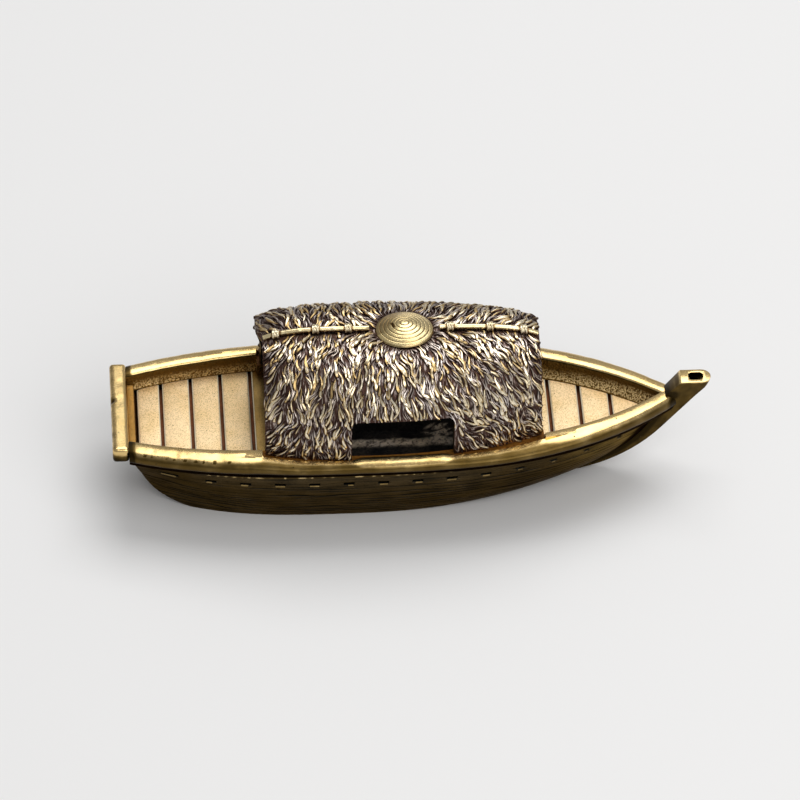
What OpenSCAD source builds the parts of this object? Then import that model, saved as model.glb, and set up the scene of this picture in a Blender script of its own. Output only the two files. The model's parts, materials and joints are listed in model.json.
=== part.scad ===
// Covered river boat in cast brass that burns incense under a lift-off thatched canopy.
// Lengths are in millimetres. X points to the bow, Y to port and Z up.
// The origin lies on the floor, under the middle of the boat.

/* [Hull] */
// Length from the stern beam to the tip of the stem head
overall_l = 100; // [92:1:110]
// Width over the two rails
beam_w = 33.2; // [31:0.2:36]
// Height from the floor to the top of the rails
side_h = 15.8; // [14.8:0.1:17.4]
// Width of the flat bottom at the widest section
bottom_w = 20.6; // [18:0.2:23]
// How far the widest section lies aft of the middle
widest_aft = 12; // [9:0.5:15]
// Length over which the sides draw in towards the stern
stern_run = 55; // [50:1:60]
// Length over which the bottom draws in towards the stern
bottom_run = 38; // [35:0.5:42]
// How far the stern leans aft between the bottom and the rails
stern_rake = 4.4; // [3:0.2:6]
// How far the foot of the stern is rounded off
stern_tuck = 5.6; // [4:0.2:7]
// Wall thickness of the lower hull
wall_t = 2.4; // [2.1:0.1:2.8]
// Thickness of the bottom
bottom_t = 1.6; // [1.2:0.1:2.2]

/* [Side strakes and transom] */
// Height of the side strakes
strake_h = 4.5; // [4.1:0.1:5]
// Thickness of the side strakes above their ledge
strake_t = 1.2; // [1:0.1:1.4]
// Thickness of the transom board
transom_t = 1.2; // [1:0.1:1.6]
// How far the transom board stands above the deck
transom_rise = 1.7; // [1.2:0.1:2.1]
// Length of a dent in the strakes
dent_l = 1.7; // [1.2:0.1:2.2]
// Height of a dent in the strakes
dent_h = 0.6; // [0.4:0.05:0.8]
// Depth of a dent in the strakes
dent_d = 0.45; // [0.3:0.05:0.6]
// Distance from one dent to the next
dent_pitch = 5.7; // [5:0.1:6.2]

/* [Rails] */
// Height of the rails
rail_h = 2.9; // [2.6:0.1:3.3]
// Width of the rails along their top, towards their ends
rail_w = 3.3; // [3:0.1:3.6]
// How much wider the rails are beside the canopy
rail_swell = 0.5; // [0.2:0.1:0.7]
// How much higher the rails stand at the canopy's stern end
stern_sheer = 0.6; // [0.3:0.1:0.9]
// How much higher the rails stand at the canopy's bow end
bow_sheer = 0.3; // [0.1:0.1:0.6]
// How far the rails stand out over the strakes
rail_overhang = 1; // [0.7:0.1:1.2]
// Width of a rail's foot over the stern deck
stern_foot_w = 4.1; // [3.9:0.1:4.4]
// Width of a rail's foot over the bow deck
bow_foot_w = 5.8; // [5.2:0.1:6.2]
// Width of the crest outside the canopy rebate
crest_w = 1.6; // [1.3:0.1:1.8]
// Depth of the canopy rebate below the rail top
rebate_d = 0.8; // [0.6:0.1:1.1]

/* [Stern beam] */
// Length of the stern beam across the boat
stern_beam_l = 22.6; // [21:0.2:24]
// Thickness of the stern beam along the boat
stern_beam_t = 2.75; // [2.2:0.05:3.2]
// Height of the stern beam
stern_beam_h = 2.8; // [2.4:0.1:3.2]
// How far the stern beam stands above the rails
stern_beam_rise = 0.5; // [0.2:0.1:1]
// Radius of the stern beam's long edges
stern_beam_r = 0.5; // [0.3:0.05:0.8]

/* [Stem post] */
// Width of the stem bar across the boat
stem_w = 2.8; // [2.6:0.1:3]
// Width of the stem head across the boat
stem_head_w = 3.3; // [3.1:0.1:3.8]
// Length of the stem head along the boat
stem_head_l = 5; // [4.6:0.1:5.4]
// How far the stem head stands above the rails
stem_rise = 3.1; // [2.6:0.1:3.8]
// Lean of the stem head from the level
stem_lean = 50; // [47:1:54]
// Radius of the bow's curve from the bottom into the lean
stem_r = 25.5; // [23:0.5:28]
// Length of the socket's mouth along the boat
mouth_l = 2.5; // [2.3:0.1:2.8]
// Width of the socket's mouth across the boat
mouth_w = 1.9; // [1.8:0.05:2.2]
// Depth of the socket's mouth
mouth_d = 0.9; // [0.6:0.1:1.2]
// Bore for the foot of an incense stick
stick_d = 1.7; // [1.4:0.05:1.8]
// Depth of the stick bore under the mouth
stick_depth = 4.5; // [3:0.5:6]

/* [Decks] */
// Thickness of the deck planks
plank_t = 1.2; // [0.9:0.1:1.5]
// Gap between deck planks
plank_gap = 0.5; // [0.3:0.05:0.7]
// Thickness of the plates under the planks
bed_t = 1; // [0.8:0.1:1.3]
// Thickness of the bulkheads
bulkhead_t = 1.2; // [1:0.1:1.6]
// Length of deck under each end of the canopy
deck_tuck = 2.2; // [1.8:0.1:2.8]
// Distance from the canopy to the nearest plank gap at the stern
stern_gap_off = 1.7; // [1.2:0.1:2.2]
// Distance from the canopy to the nearest plank gap at the bow
bow_gap_off = 2; // [1.5:0.1:2.5]

/* [Canopy] */
// Length of the canopy
canopy_l = 46; // [43:0.5:49]
// How far the canopy's middle lies aft of the boat's middle
canopy_aft = 1.8; // [0:0.2:3]
// Height of the canopy from its feet to the ridge
canopy_h = 16.1; // [14:0.1:18]
// Thickness of the canopy
canopy_t = 1.3; // [1:0.1:1.6]
// How much further in the feet stand at the canopy's stern end
stern_taper = 1.8; // [1.4:0.1:2.2]
// How much further in the feet stand at the canopy's bow end
bow_taper = 2.4; // [2:0.1:2.8]
// How much lower the ridge lies at the canopy's ends
ridge_drop = 1.9; // [1:0.1:2.6]
// How much higher the ridge lies at the stern end than at the bow end
ridge_tilt = 0.8; // [0:0.1:1.2]
// How much further aft the port slope reaches
port_reach = 0.8; // [0.4:0.1:1.2]
// Length of the side windows
window_l = 17; // [14:0.5:20]
// Height of the side windows
window_h = 7.4; // [6:0.1:9]
// Radius of the windows' upper corners
window_r = 0.9; // [0.5:0.1:1.5]

/* [Ridge poles and hat] */
// Diameter of the ridge poles
pole_d = 0.8; // [0.6:0.05:1]
// Diameter of the lashings on the poles
tie_d = 1.5; // [1.3:0.05:1.8]
// Length of a lashing along the pole
tie_l = 1.2; // [0.9:0.1:1.5]
// Diameter of the straw hat
hat_d = 9.75; // [9:0.05:10.5]
// Height of the straw hat above its seat
hat_h = 2.05; // [1.8:0.05:2.4]
// How deep the hat sits in the ridge
hat_sink = 0.55; // [0.45:0.05:0.7]
// Diameter of the hat's peg
hat_peg_d = 1.8; // [1.4:0.1:2.2]

/* [Hidden] */
$fn = 48;

// Clearance between pieces that are let into one another
fit_clear = 0.1;
// Clearance between the canopy's feet and the crest of the rails
canopy_clear = 0.3;
// Clearance between the canopy's ends and the shoulders of the rebate
end_clear = 0.4;
// Run of the rebate's shoulders
shoulder_run = 0.15;
// Fullness of the boat's outline seen from above
plan_power = 2.9;
// Squareness of the canopy's arch
arch_power = 2.7;
// Stations along the boat and along the canopy
hull_steps = 26;
canopy_steps = 14;
arch_steps = 28;
// Points along the curved edge of a plank
plank_steps = 6;

stern_x = -overall_l / 2 + stern_beam_t;
tip_x = overall_l / 2;
widest_x = -widest_aft;
rail_z = side_h - rail_h;
strake_z = rail_z - strake_h;
bed_z = rail_z - plank_t - bed_t;
plank_z = rail_z - plank_t;
ledge_z = side_h - rebate_d;
head_z = side_h + stem_rise;

// Bow curve: an arc from the bottom, then a straight lean up to the head
arc_top = stem_r * (1 - cos(stem_lean));
arc_run = stem_r * sin(stem_lean);
foot_x = tip_x - arc_run - (head_z - arc_top) / tan(stem_lean);

function stem_x(z) =
    z < arc_top ? foot_x + sqrt(pow(stem_r, 2) - pow(stem_r - z, 2))
    : foot_x + arc_run + (z - arc_top) / tan(stem_lean);

// Half width of the hull at its widest section, at height z
hull_w = beam_w - 2 * rail_overhang;
function half_max(z) = (bottom_w + (hull_w - bottom_w) * sin(90 * z / side_h)) / 2;

// Lengths over which the outline at height z draws in to the bow and to the stern
bow_inset_low = 0.3;
bow_inset_high = 2.2;
function bow_run(z) =
    stem_x(z) - bow_inset_low - (bow_inset_high - bow_inset_low) * pow(z / side_h, 2) - widest_x;
function aft_run(z) = bottom_run + (stern_run - bottom_run) * pow(z / side_h, 2);
function fullness(x, z) =
    1 - pow(x > widest_x ? (x - widest_x) / bow_run(z) : (widest_x - x) / aft_run(z), plan_power);
function hull_half(x, z) = half_max(z) * fullness(x, z);

// The rails draw in later than the sides, and end further forward on the stem.
rail_stern_run = stern_run + 2.6;
rail_bow_run = bow_run(side_h) + 0.6;
rail_stern_power = 2.5;
rail_bow_power = 3.2;
function rail_half(x) =
    beam_w / 2 * (x > widest_x
        ? 1 - pow((x - widest_x) / rail_bow_run, rail_bow_power)
        : 1 - pow((widest_x - x) / rail_stern_run, rail_stern_power));

// Place towards the bow where the outline at height z has narrowed to a half width
function bow_x(z, half) = widest_x + bow_run(z) * pow(1 - half / half_max(z), 1 / plan_power);
function rail_bow_x(half) = widest_x + rail_bow_run * pow(1 - 2 * half / beam_w, 1 / rail_bow_power);

// Outer face of the stern at height z
function stern_face(z) =
    let(t = 1 - z / rail_z) stern_x + stern_rake * t + stern_tuck * pow(t, 8);

// Canopy: place, outline and ridge
canopy_x0 = -canopy_aft - canopy_l / 2;
canopy_x1 = -canopy_aft + canopy_l / 2;
belly_aft = 4.5;
belly_x = -canopy_aft - belly_aft;
function foot_draw(x) =
    x < belly_x ? stern_taper * pow((belly_x - x) / (belly_x - canopy_x0), 2)
    : bow_taper * pow((x - belly_x) / (canopy_x1 - belly_x), 2);
function canopy_half(x) =
    let(inside = min(max(x, canopy_x0), canopy_x1))
    rail_half(inside) - crest_w - canopy_clear - foot_draw(inside);
function ridge_z(x) =
    let(u = (x + canopy_aft) / (canopy_l / 2))
    ledge_z + canopy_h - ridge_tilt / 2 * u - ridge_drop * pow(u, 6);
function foot_in(x) = canopy_half(x) - canopy_t - canopy_clear;

// Hat on the crown of the canopy
hat_fore = 0.6;
hat_x = hat_fore - canopy_aft;
hat_z = ledge_z + canopy_h - hat_sink;

// Decks: bulkheads, plank gaps and the point where the rails close over the bow deck
stern_deck_end = canopy_x0 + deck_tuck;
bow_deck_end = canopy_x1 - deck_tuck;
deck_tip = rail_bow_x(bow_foot_w);
stern_gap_last = canopy_x0 - stern_gap_off;
stern_deck_start = stern_face(plank_z) + transom_t + fit_clear;
first_plank_share = 0.8;
stern_pitch = (stern_gap_last - stern_deck_start) / (3 + first_plank_share);
bow_gap_first = canopy_x1 + bow_gap_off;
bow_pitch = (deck_tip - bow_gap_first) / 3;

brass = [0.80, 0.63, 0.33];
dark_brass = [0.48, 0.37, 0.20];
pale_brass = [0.86, 0.72, 0.46];
thatch_brown = [0.44, 0.37, 0.28];

// A closed skin through rings of equally many points. Each ring goes up one side and back down the other.
module skin(rings) {
    n = len(rings[0]);
    m = len(rings);
    half = n / 2;
    sides = [
        for (j = [0 : m - 2], k = [0 : n - 1])
            let(a = j * n + k, b = j * n + (k + 1) % n)
            each [[a, b + n, b], [a, a + n, b + n]]
    ];
    first = [
        for (i = [0 : half - 2])
            each [[i, i + 1, n - 2 - i], [i, n - 2 - i, n - 1 - i]]
    ];
    e = (m - 1) * n;
    last = [
        for (i = [0 : half - 2])
            each [[e + n - 2 - i, e + i + 1, e + i], [e + n - 1 - i, e + n - 2 - i, e + i]]
    ];
    polyhedron(points = [for (r = rings) each r], faces = concat(sides, first, last), convexity = 8);
}

// One level of the hull's outline, drawn in by off, from x0 to x1
function outline(z, off, x0, x1) =
    let(xs = [for (i = [0 : hull_steps]) x0 + (x1 - x0) * i / hull_steps])
    concat(
        [for (i = [0 : hull_steps]) [xs[i], -hull_half(xs[i], z) + off, z]],
        [for (i = [hull_steps : -1 : 0]) [xs[i], hull_half(xs[i], z) - off, z]]
    );

// Levels of the lower hull, closer together at the bottom
hull_levels = [for (t = [0, 0.2, 0.32, 0.45, 0.58, 0.72, 0.86, 1]) strake_z * pow(t, 2)];
well_levels = [for (t = [1, 0.75, 0.5, 0.25, 0]) bottom_t + (strake_z - bottom_t) * pow(t, 1.5)];
// Half width of the cavity where it ends behind the stem
well_end_half = 1;

module hull_shell() {
    color(dark_brass)
        skin(concat(
            [for (z = hull_levels) outline(z, 0, stern_face(z), bow_x(z, stem_w / 2))],
            [for (z = well_levels)
                outline(z, wall_t, stern_face(z) + wall_t, bow_x(z, wall_t + well_end_half))]
        ));
}

// Levels of a strake's outer face. Its inner face steps out at the ledge that carries the deck beds.
ledge_half_step = 0.05;
strake_levels = [
    strake_z, (strake_z + bed_z) / 2, bed_z - ledge_half_step,
    bed_z + ledge_half_step, (bed_z + rail_z) / 2, rail_z
];
// Least distance of a strake from the boat's middle plane
strake_mid_gap = 0.1;

function strake_x(z, s) = stern_face(z) + (bow_x(z, stem_w / 2) - stern_face(z)) * s;
function strake_point(z, s, off) =
    let(x = strake_x(z, s)) [x, max(hull_half(x, z) - off, strake_mid_gap), z];
function strake_ring(s) = concat(
    [for (z = strake_levels) strake_point(z, s, 0)],
    [
        strake_point(rail_z, s, strake_t),
        strake_point((bed_z + rail_z) / 2, s, strake_t),
        strake_point(bed_z, s, strake_t),
        strake_point(bed_z, s, wall_t),
        strake_point((strake_z + bed_z) / 2, s, wall_t),
        strake_point(strake_z, s, wall_t)
    ]
);

dent_z = strake_z + strake_h * 0.45;
dent_first = stern_face(dent_z) + 2.2 * dent_pitch;
dent_count = floor((bow_x(dent_z, 4.5) - dent_first) / dent_pitch);

module dent(x, l) {
    reach = 0.5;
    slope = atan2(hull_half(x + reach, dent_z) - hull_half(x - reach, dent_z), 2 * reach);
    translate([x, hull_half(x, dent_z), dent_z])
        rotate([0, 0, slope])
            cube([l, 2 * dent_d, dent_h], center = true);
}

module port_strake_solid() {
    difference() {
        skin([for (i = [0 : hull_steps]) strake_ring(i / hull_steps)]);
        dent(dent_first - 1.2 * dent_pitch, 1.7 * dent_l);
        for (i = [0 : dent_count])
            dent(dent_first + i * dent_pitch, dent_l);
    }
}

module port_strake() {
    color(dark_brass) port_strake_solid();
}

module starboard_strake() {
    color(dark_brass) mirror([0, 1, 0]) port_strake_solid();
}

// Raked piece of the transom from z0 up to z1, drawn in by off from the hull's outline
module transom_piece(z0, z1, off) {
    skin([
        for (i = [0 : 3])
            let(
                z = z0 + (z1 - z0) * i / 3,
                x = stern_face(z),
                h = hull_half(x, z) - off - fit_clear
            )
            [[x, -h, z], [x + transom_t, -h, z], [x + transom_t, h, z], [x, h, z]]
    ]);
}

// The raked pieces stand between the strakes, below and above their ledge.
// The upright piece stands between the rails.
module transom_board() {
    upper_half = rail_half(stern_x) - stern_foot_w - fit_clear;
    color(dark_brass)
        union() {
            transom_piece(strake_z, bed_z, wall_t);
            transom_piece(bed_z, rail_z, strake_t);
            translate([stern_x, -upper_half, rail_z])
                cube([transom_t, 2 * upper_half, transom_rise]);
        }
}

// Rail section as distances in from the outer face and heights: up the outside, then down the inside.
// near goes from 0 at a rail's end to 1 beside the canopy.
function rail_section(near, sheer, foot) =
    let(w = rail_w + rail_swell * near, h = rail_h + sheer * pow(near, 2))
    [
        [rail_overhang, rail_z],
        [0, rail_z + h * 0.17],
        [0, rail_z + h * 0.62],
        [w * 0.12, rail_z + h * 0.86],
        [w * 0.36, rail_z + h * 0.98],
        [w * 0.64, rail_z + h],
        [w * 0.88, rail_z + h * 0.95],
        [w * 0.98, rail_z + h * 0.83],
        [w, rail_z + h * 0.55],
        [foot, rail_z]
    ];

// The same section where the rebate for the canopy is cut, with the ledge reaching in under the feet
function rebate_section(ledge) = [
    [rail_overhang, rail_z],
    [0, rail_z + rail_h * 0.17],
    [0, rail_z + rail_h * 0.62],
    [crest_w * 0.25, rail_z + rail_h * 0.86],
    [crest_w * 0.5, rail_z + rail_h * 0.97],
    [crest_w * 0.9, rail_z + rail_h * 0.97],
    [crest_w, ledge_z],
    [ledge, ledge_z],
    [ledge, (ledge_z + rail_z) / 2],
    [ledge, rail_z]
];

function rail_ring(x, section) = [for (p = section) [x, rail_half(x) - p[0], p[1]]];

rebate_x0 = canopy_x0 - end_clear;
rebate_x1 = canopy_x1 + end_clear;
rail_end_half = 0.9;
rail_end_x = rail_bow_x(rail_end_half);
stern_rail_steps = 9;
rebate_steps = 16;
bow_rail_steps = 14;

module port_rail_solid() {
    run0 = rebate_x0 - shoulder_run - stern_x;
    run1 = rail_end_x - rebate_x1 - shoulder_run;
    difference() {
        intersection() {
            skin(concat(
                [for (i = [0 : stern_rail_steps])
                    let(near = i / stern_rail_steps)
                    rail_ring(stern_x + run0 * near, rail_section(near, stern_sheer, stern_foot_w))],
                [for (i = [0 : rebate_steps])
                    let(x = rebate_x0 + (rebate_x1 - rebate_x0) * i / rebate_steps)
                    rail_ring(x, rebate_section(rail_half(x) - foot_in(x)))],
                [for (i = [0 : bow_rail_steps])
                    let(near = 1 - i / bow_rail_steps)
                    rail_ring(rail_end_x - run1 * near, rail_section(near, bow_sheer, bow_foot_w))]
            ));
            translate([-overall_l, 0, 0])
                cube([2 * overall_l, beam_w, 2 * side_h]);
        }
        stem_blank();
    }
}

module port_gunwale() {
    color(brass) port_rail_solid();
}

module starboard_gunwale() {
    color(brass) mirror([0, 1, 0]) port_rail_solid();
}

module rounded_rectangle(l, w, r) {
    square([l - 2 * r, w], center = true);
    square([l, w - 2 * r], center = true);
    for (sx = [-1, 1], sy = [-1, 1])
        translate([sx * (l / 2 - r), sy * (w / 2 - r)])
            circle(r);
}

module stern_beam() {
    color(brass)
        translate([stern_x - stern_beam_t / 2, 0, side_h + stern_beam_rise - stern_beam_h / 2])
            rotate([90, 0, 0])
                linear_extrude(height = stern_beam_l, center = true)
                    rounded_rectangle(stern_beam_t, stern_beam_h, stern_beam_r);
}

// Side view of the stem. Its back follows the ends of the hull and strakes, then leans with the head.
arc_steps = 14;
stem_back_x = tip_x - stem_head_l;
function stem_outline() = concat(
    [for (i = [0 : arc_steps])
        let(a = stem_lean * i / arc_steps) [foot_x + stem_r * sin(a), stem_r * (1 - cos(a))]],
    [
        [tip_x, head_z],
        [stem_back_x, head_z],
        [stem_back_x - stem_rise / tan(stem_lean), side_h]
    ],
    [for (i = [5 : -1 : 0]) [bow_x(strake_levels[i], stem_w / 2), strake_levels[i]]],
    [for (i = [6 : -1 : 0]) [bow_x(hull_levels[i], stem_w / 2), hull_levels[i]]]
);

// The bar is wider at its head, and the head's nose is round seen from above.
module stem_blank() {
    intersection() {
        rotate([90, 0, 0])
            linear_extrude(height = 2 * stem_head_w, center = true)
                polygon(stem_outline());
        rotate([90, 0, 90])
            linear_extrude(height = 2 * overall_l, center = true)
                polygon([
                    [-stem_w / 2, 0], [stem_w / 2, 0], [stem_w / 2, side_h],
                    [stem_head_w / 2, head_z], [-stem_head_w / 2, head_z], [-stem_w / 2, side_h]
                ]);
        linear_extrude(height = head_z) {
            nose_x = tip_x - stem_head_w / 2;
            translate([0, -stem_head_w / 2])
                square([nose_x, stem_head_w]);
            translate([nose_x, 0])
                circle(stem_head_w / 2);
        }
    }
}

mouth_x = (stem_back_x + tip_x) / 2;
mouth_r = mouth_w * 0.35;
bore_l = mouth_d / sin(stem_lean) + stick_depth;

module stem_post() {
    color(brass)
        difference() {
            stem_blank();
            translate([mouth_x, 0, head_z - mouth_d])
                linear_extrude(height = 2 * mouth_d)
                    rounded_rectangle(mouth_l, mouth_w, mouth_r);
            translate([mouth_x, 0, head_z - mouth_d / 2])
                rotate([0, 90 - stem_lean, 0])
                    translate([0, 0, -bore_l])
                        cylinder(d = stick_d, h = bore_l);
        }
}

// Cross wall that fills the well from the bottom up to the deck bed, between x0 and x1
module bulkhead(x0, x1) {
    levels = [for (i = [0 : 6]) bottom_t + (bed_z - bottom_t) * i / 6];
    function half(z) = min(hull_half(x0, z), hull_half(x1, z)) - wall_t - fit_clear;
    translate([x0, 0, 0])
        rotate([90, 0, 90])
            linear_extrude(height = x1 - x0)
                polygon(concat(
                    [for (z = levels) [half(z), z]],
                    [for (i = [6 : -1 : 0]) [-half(levels[i]), levels[i]]]
                ));
}

module stern_bulkhead() {
    color(dark_brass) bulkhead(stern_deck_end - bulkhead_t, stern_deck_end);
}

module bow_bulkhead() {
    color(dark_brass) bulkhead(bow_deck_end, bow_deck_end + bulkhead_t);
}

// A flat board from x0 to x1 that fits between the strakes at height z
module deck_board(x0, x1, z, t) {
    function edge(x) = hull_half(x, z) - strake_t - fit_clear;
    xs = [for (i = [0 : plank_steps]) x0 + (x1 - x0) * i / plank_steps];
    translate([0, 0, z])
        linear_extrude(height = t)
            polygon(concat(
                [for (x = xs) [x, -edge(x)]],
                [for (i = [plank_steps : -1 : 0]) [xs[i], edge(xs[i])]]
            ));
}

// Place towards the bow where a deck board at height z has narrowed to twice its thickness
function board_tip(z, t) = bow_x(z, strake_t + fit_clear + t);

module stern_deck_bed() {
    color(dark_brass)
        deck_board(stern_face(bed_z) + transom_t + fit_clear, stern_deck_end, bed_z, bed_t);
}

module bow_deck_bed() {
    color(dark_brass)
        deck_board(bow_deck_end, board_tip(bed_z, bed_t), bed_z, bed_t);
}

function stern_gap(i) =
    i == 0 ? stern_deck_start - plank_gap / 2
    : i == 5 ? stern_deck_end + plank_gap / 2
    : stern_gap_last - (4 - i) * stern_pitch;

module stern_plank(i) {
    color(pale_brass)
        deck_board(stern_gap(i - 1) + plank_gap / 2, stern_gap(i) - plank_gap / 2, plank_z, plank_t);
}

function bow_gap(i) =
    i == 0 ? bow_deck_end - plank_gap / 2
    : i == 4 ? board_tip(plank_z, plank_t) + plank_gap / 2
    : bow_gap_first + (i - 1) * bow_pitch;

module bow_plank(i) {
    color(pale_brass)
        deck_board(bow_gap(i - 1) + plank_gap / 2, bow_gap(i) - plank_gap / 2, plank_z, plank_t);
}

// Arch of the canopy at x, drawn in by off, as a point at angle a
function arch_point(x, a, off) =
    let(c = cos(a), s = sin(a), w = canopy_half(x) - off, h = ridge_z(x) - ledge_z - off)
    [x, w * sign(c) * pow(abs(c), 2 / arch_power), ledge_z + h * pow(max(s, 0), 2 / arch_power)];

// The port slope of the first arch reaches further aft, except at its foot and at the ridge.
function reach_at(a) = port_reach * min(max(min((a - 12) / 14, (88 - a) / 10), 0), 1);
function arch_ring(j) =
    let(
        x = canopy_x0 + canopy_l * j / canopy_steps,
        steps = [for (i = [0 : arch_steps]) 180 * i / arch_steps],
        shift = j == 0 ? 1 : 0
    )
    concat(
        [for (a = steps) arch_point(x, a, 0) - [shift * reach_at(a), 0, 0]],
        [for (i = [arch_steps : -1 : 0])
            arch_point(x, steps[i], canopy_t) - [shift * reach_at(steps[i]), 0, 0]]
    );

window_aft = 0.3;
window_mid = -canopy_aft - window_aft;

module window_cut() {
    rotate([90, 0, 0])
        linear_extrude(height = 2 * beam_w, center = true)
            translate([window_mid, ledge_z])
                rounded_rectangle(window_l, 2 * window_h, window_r);
}

module canopy_shell() {
    color(thatch_brown)
        difference() {
            skin([for (j = [0 : canopy_steps]) arch_ring(j)]);
            window_cut();
            pole(stern_pole_x0, stern_pole_x1);
            pole(bow_pole_x0, bow_pole_x1);
            for (x = tie_places)
                tie_blank(x);
            translate([hat_x, 0, hat_z])
                cylinder(d = hat_d + 2 * fit_clear, h = 2 * hat_h);
            translate([hat_x, 0, hat_z - 2 * canopy_t])
                cylinder(d = hat_peg_d, h = 3 * canopy_t);
        }
}

// Ridge poles: tubes that follow the ridge, half let into the thatch
pole_lift = pole_d * 0.3;
pole_steps = 8;
pole_sides = 10;
pole_inset = 0.3;
stern_pole_x0 = canopy_x0 + pole_inset;
stern_pole_x1 = hat_x - hat_d / 2 - 2 * fit_clear;
bow_pole_x0 = hat_x + hat_d / 2 + 2 * fit_clear;
bow_pole_x1 = canopy_x1 - pole_inset;

module pole(x0, x1) {
    skin([
        for (i = [0 : pole_steps])
            let(x = x0 + (x1 - x0) * i / pole_steps)
            [for (k = [0 : pole_sides - 1])
                let(a = 360 * (k + 0.5) / pole_sides)
                [x, pole_d / 2 * cos(a), ridge_z(x) + pole_lift + pole_d / 2 * sin(a)]]
    ]);
}

module stern_ridge_pole() {
    color(brass) pole(stern_pole_x0, stern_pole_x1);
}

module bow_ridge_pole() {
    color(brass) pole(bow_pole_x0, bow_pole_x1);
}

// Lashings: three on each pole, tied by hand at these distances from the pole's outer end
stern_ties = [2, 8.6, 14];
bow_ties = [2.3, 7.9, 14.5];
tie_places = concat(
    [for (off = stern_ties) stern_pole_x0 + off],
    [for (off = bow_ties) bow_pole_x1 - off]
);

module tie_blank(x) {
    slope = atan2(ridge_z(x + tie_l / 2) - ridge_z(x - tie_l / 2), tie_l);
    translate([x, 0, ridge_z(x) + pole_lift])
        rotate([0, 90 - slope, 0])
            cylinder(d = tie_d, h = tie_l, center = true);
}

module ridge_lashings() {
    color(pale_brass)
        for (x = tie_places)
            difference() {
                tie_blank(x);
                pole(stern_pole_x0, stern_pole_x1);
                pole(bow_pole_x0, bow_pole_x1);
            }
}

// Hat: a shallow cone of plaited rings with a rolled brim and a button on top, on a peg
hat_rings = 7;
brim_h = 0.45;
button_r = 0.5;
function cone_z(r) = brim_h + (hat_h - brim_h) * (1 - 2 * r / hat_d);
ring_step = (hat_d / 2 - button_r) / hat_rings;

module straw_hat() {
    r = hat_d / 2;
    groove = 0.12;
    color(brass)
        translate([hat_x, 0, hat_z])
            rotate_extrude()
                polygon(concat(
                    [[0, -canopy_t], [hat_peg_d / 2, -canopy_t], [hat_peg_d / 2, 0]],
                    [[r - groove, 0], [r, groove]],
                    [for (i = [0 : hat_rings - 1]) each [
                        [r - i * ring_step, cone_z(r - i * ring_step) - groove],
                        [r - (i + 0.5) * ring_step, cone_z(r - (i + 0.5) * ring_step) + groove]
                    ]],
                    [[button_r, cone_z(button_r) - groove], [button_r * 0.6, hat_h], [0, hat_h]]
                ));
}

hull_shell();
port_strake();
starboard_strake();
transom_board();
port_gunwale();
starboard_gunwale();
stern_beam();
stem_post();
stern_bulkhead();
bow_bulkhead();
stern_deck_bed();
bow_deck_bed();
stern_plank(1);  // stern_plank_1
stern_plank(2);  // stern_plank_2
stern_plank(3);  // stern_plank_3
stern_plank(4);  // stern_plank_4
stern_plank(5);  // stern_plank_5
bow_plank(1);  // bow_plank_1
bow_plank(2);  // bow_plank_2
bow_plank(3);  // bow_plank_3
bow_plank(4);  // bow_plank_4
canopy_shell();
stern_ridge_pole();
bow_ridge_pole();
ridge_lashings();
straw_hat();
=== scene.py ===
"""Looks of a cast brass incense boat: grained hull, rubbed rails, pitted planks and a carved thatch canopy.

Lengths in the shape functions are in millimetres, in the frame of the solids: X to the bow, Y to port, Z up.
"""

import json
import math
from random import Random

import bmesh
import bpy
import numpy as np
from mathutils import Matrix, Vector, noise

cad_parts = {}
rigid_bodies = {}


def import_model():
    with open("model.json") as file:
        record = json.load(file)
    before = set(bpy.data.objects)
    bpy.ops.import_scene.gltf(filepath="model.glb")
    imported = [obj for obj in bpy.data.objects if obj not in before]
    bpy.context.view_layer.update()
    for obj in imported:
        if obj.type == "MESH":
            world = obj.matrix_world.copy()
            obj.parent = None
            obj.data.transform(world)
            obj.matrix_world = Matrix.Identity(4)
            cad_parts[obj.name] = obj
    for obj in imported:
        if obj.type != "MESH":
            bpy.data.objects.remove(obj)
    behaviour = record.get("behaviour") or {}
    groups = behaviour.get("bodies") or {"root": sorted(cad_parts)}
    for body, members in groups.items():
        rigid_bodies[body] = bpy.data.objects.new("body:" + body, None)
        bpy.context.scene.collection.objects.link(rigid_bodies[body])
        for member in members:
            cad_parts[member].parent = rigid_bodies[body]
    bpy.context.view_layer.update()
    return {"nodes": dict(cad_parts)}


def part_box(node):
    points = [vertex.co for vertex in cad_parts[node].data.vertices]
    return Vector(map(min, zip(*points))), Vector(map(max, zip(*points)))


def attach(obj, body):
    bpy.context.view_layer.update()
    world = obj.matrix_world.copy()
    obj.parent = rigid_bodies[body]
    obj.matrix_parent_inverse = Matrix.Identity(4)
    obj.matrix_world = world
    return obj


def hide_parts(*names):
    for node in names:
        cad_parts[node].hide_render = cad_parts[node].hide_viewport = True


bl_info = {
    "name": "Incense boat",
    "version": (1, 0, 0),
    "blender": (4, 5, 0),
    "location": "3D View > Sidebar > Incense boat",
    "description": "Dresses the solids of a cast brass incense boat",
    "category": "Object",
}

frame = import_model()
MM = 0.001
BOAT = "boat"
CANOPY = "canopy"
SIDES = ((1, "port"), (-1, "starboard"))


def node_low(node):
    """Lowest corner of a solid, in millimetres."""
    return np.array(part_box(node)[0]) / MM


def node_high(node):
    """Highest corner of a solid, in millimetres."""
    return np.array(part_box(node)[1]) / MM


# Levels and places that are read from the solids
RAIL_FOOT = node_low("starboard_gunwale")[2]
STRAKE_FOOT = node_low("port_strake")[2]
BED_FOOT = node_low("stern_deck_bed")[2]
STERN_X = node_high("stern_beam")[0]
TIP_X = node_high("stem_post")[0]
HEAD_TOP = node_high("stem_post")[2]
HALF_BEAM = node_high("port_gunwale")[1]
LEDGE = node_low("canopy_shell")[2]
BOW_END = node_high("canopy_shell")[0]
WELL_FLOOR = node_low("stern_bulkhead")[2]
HAT_HIGH = node_high("straw_hat")
HAT_LOW = node_low("straw_hat")

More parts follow.
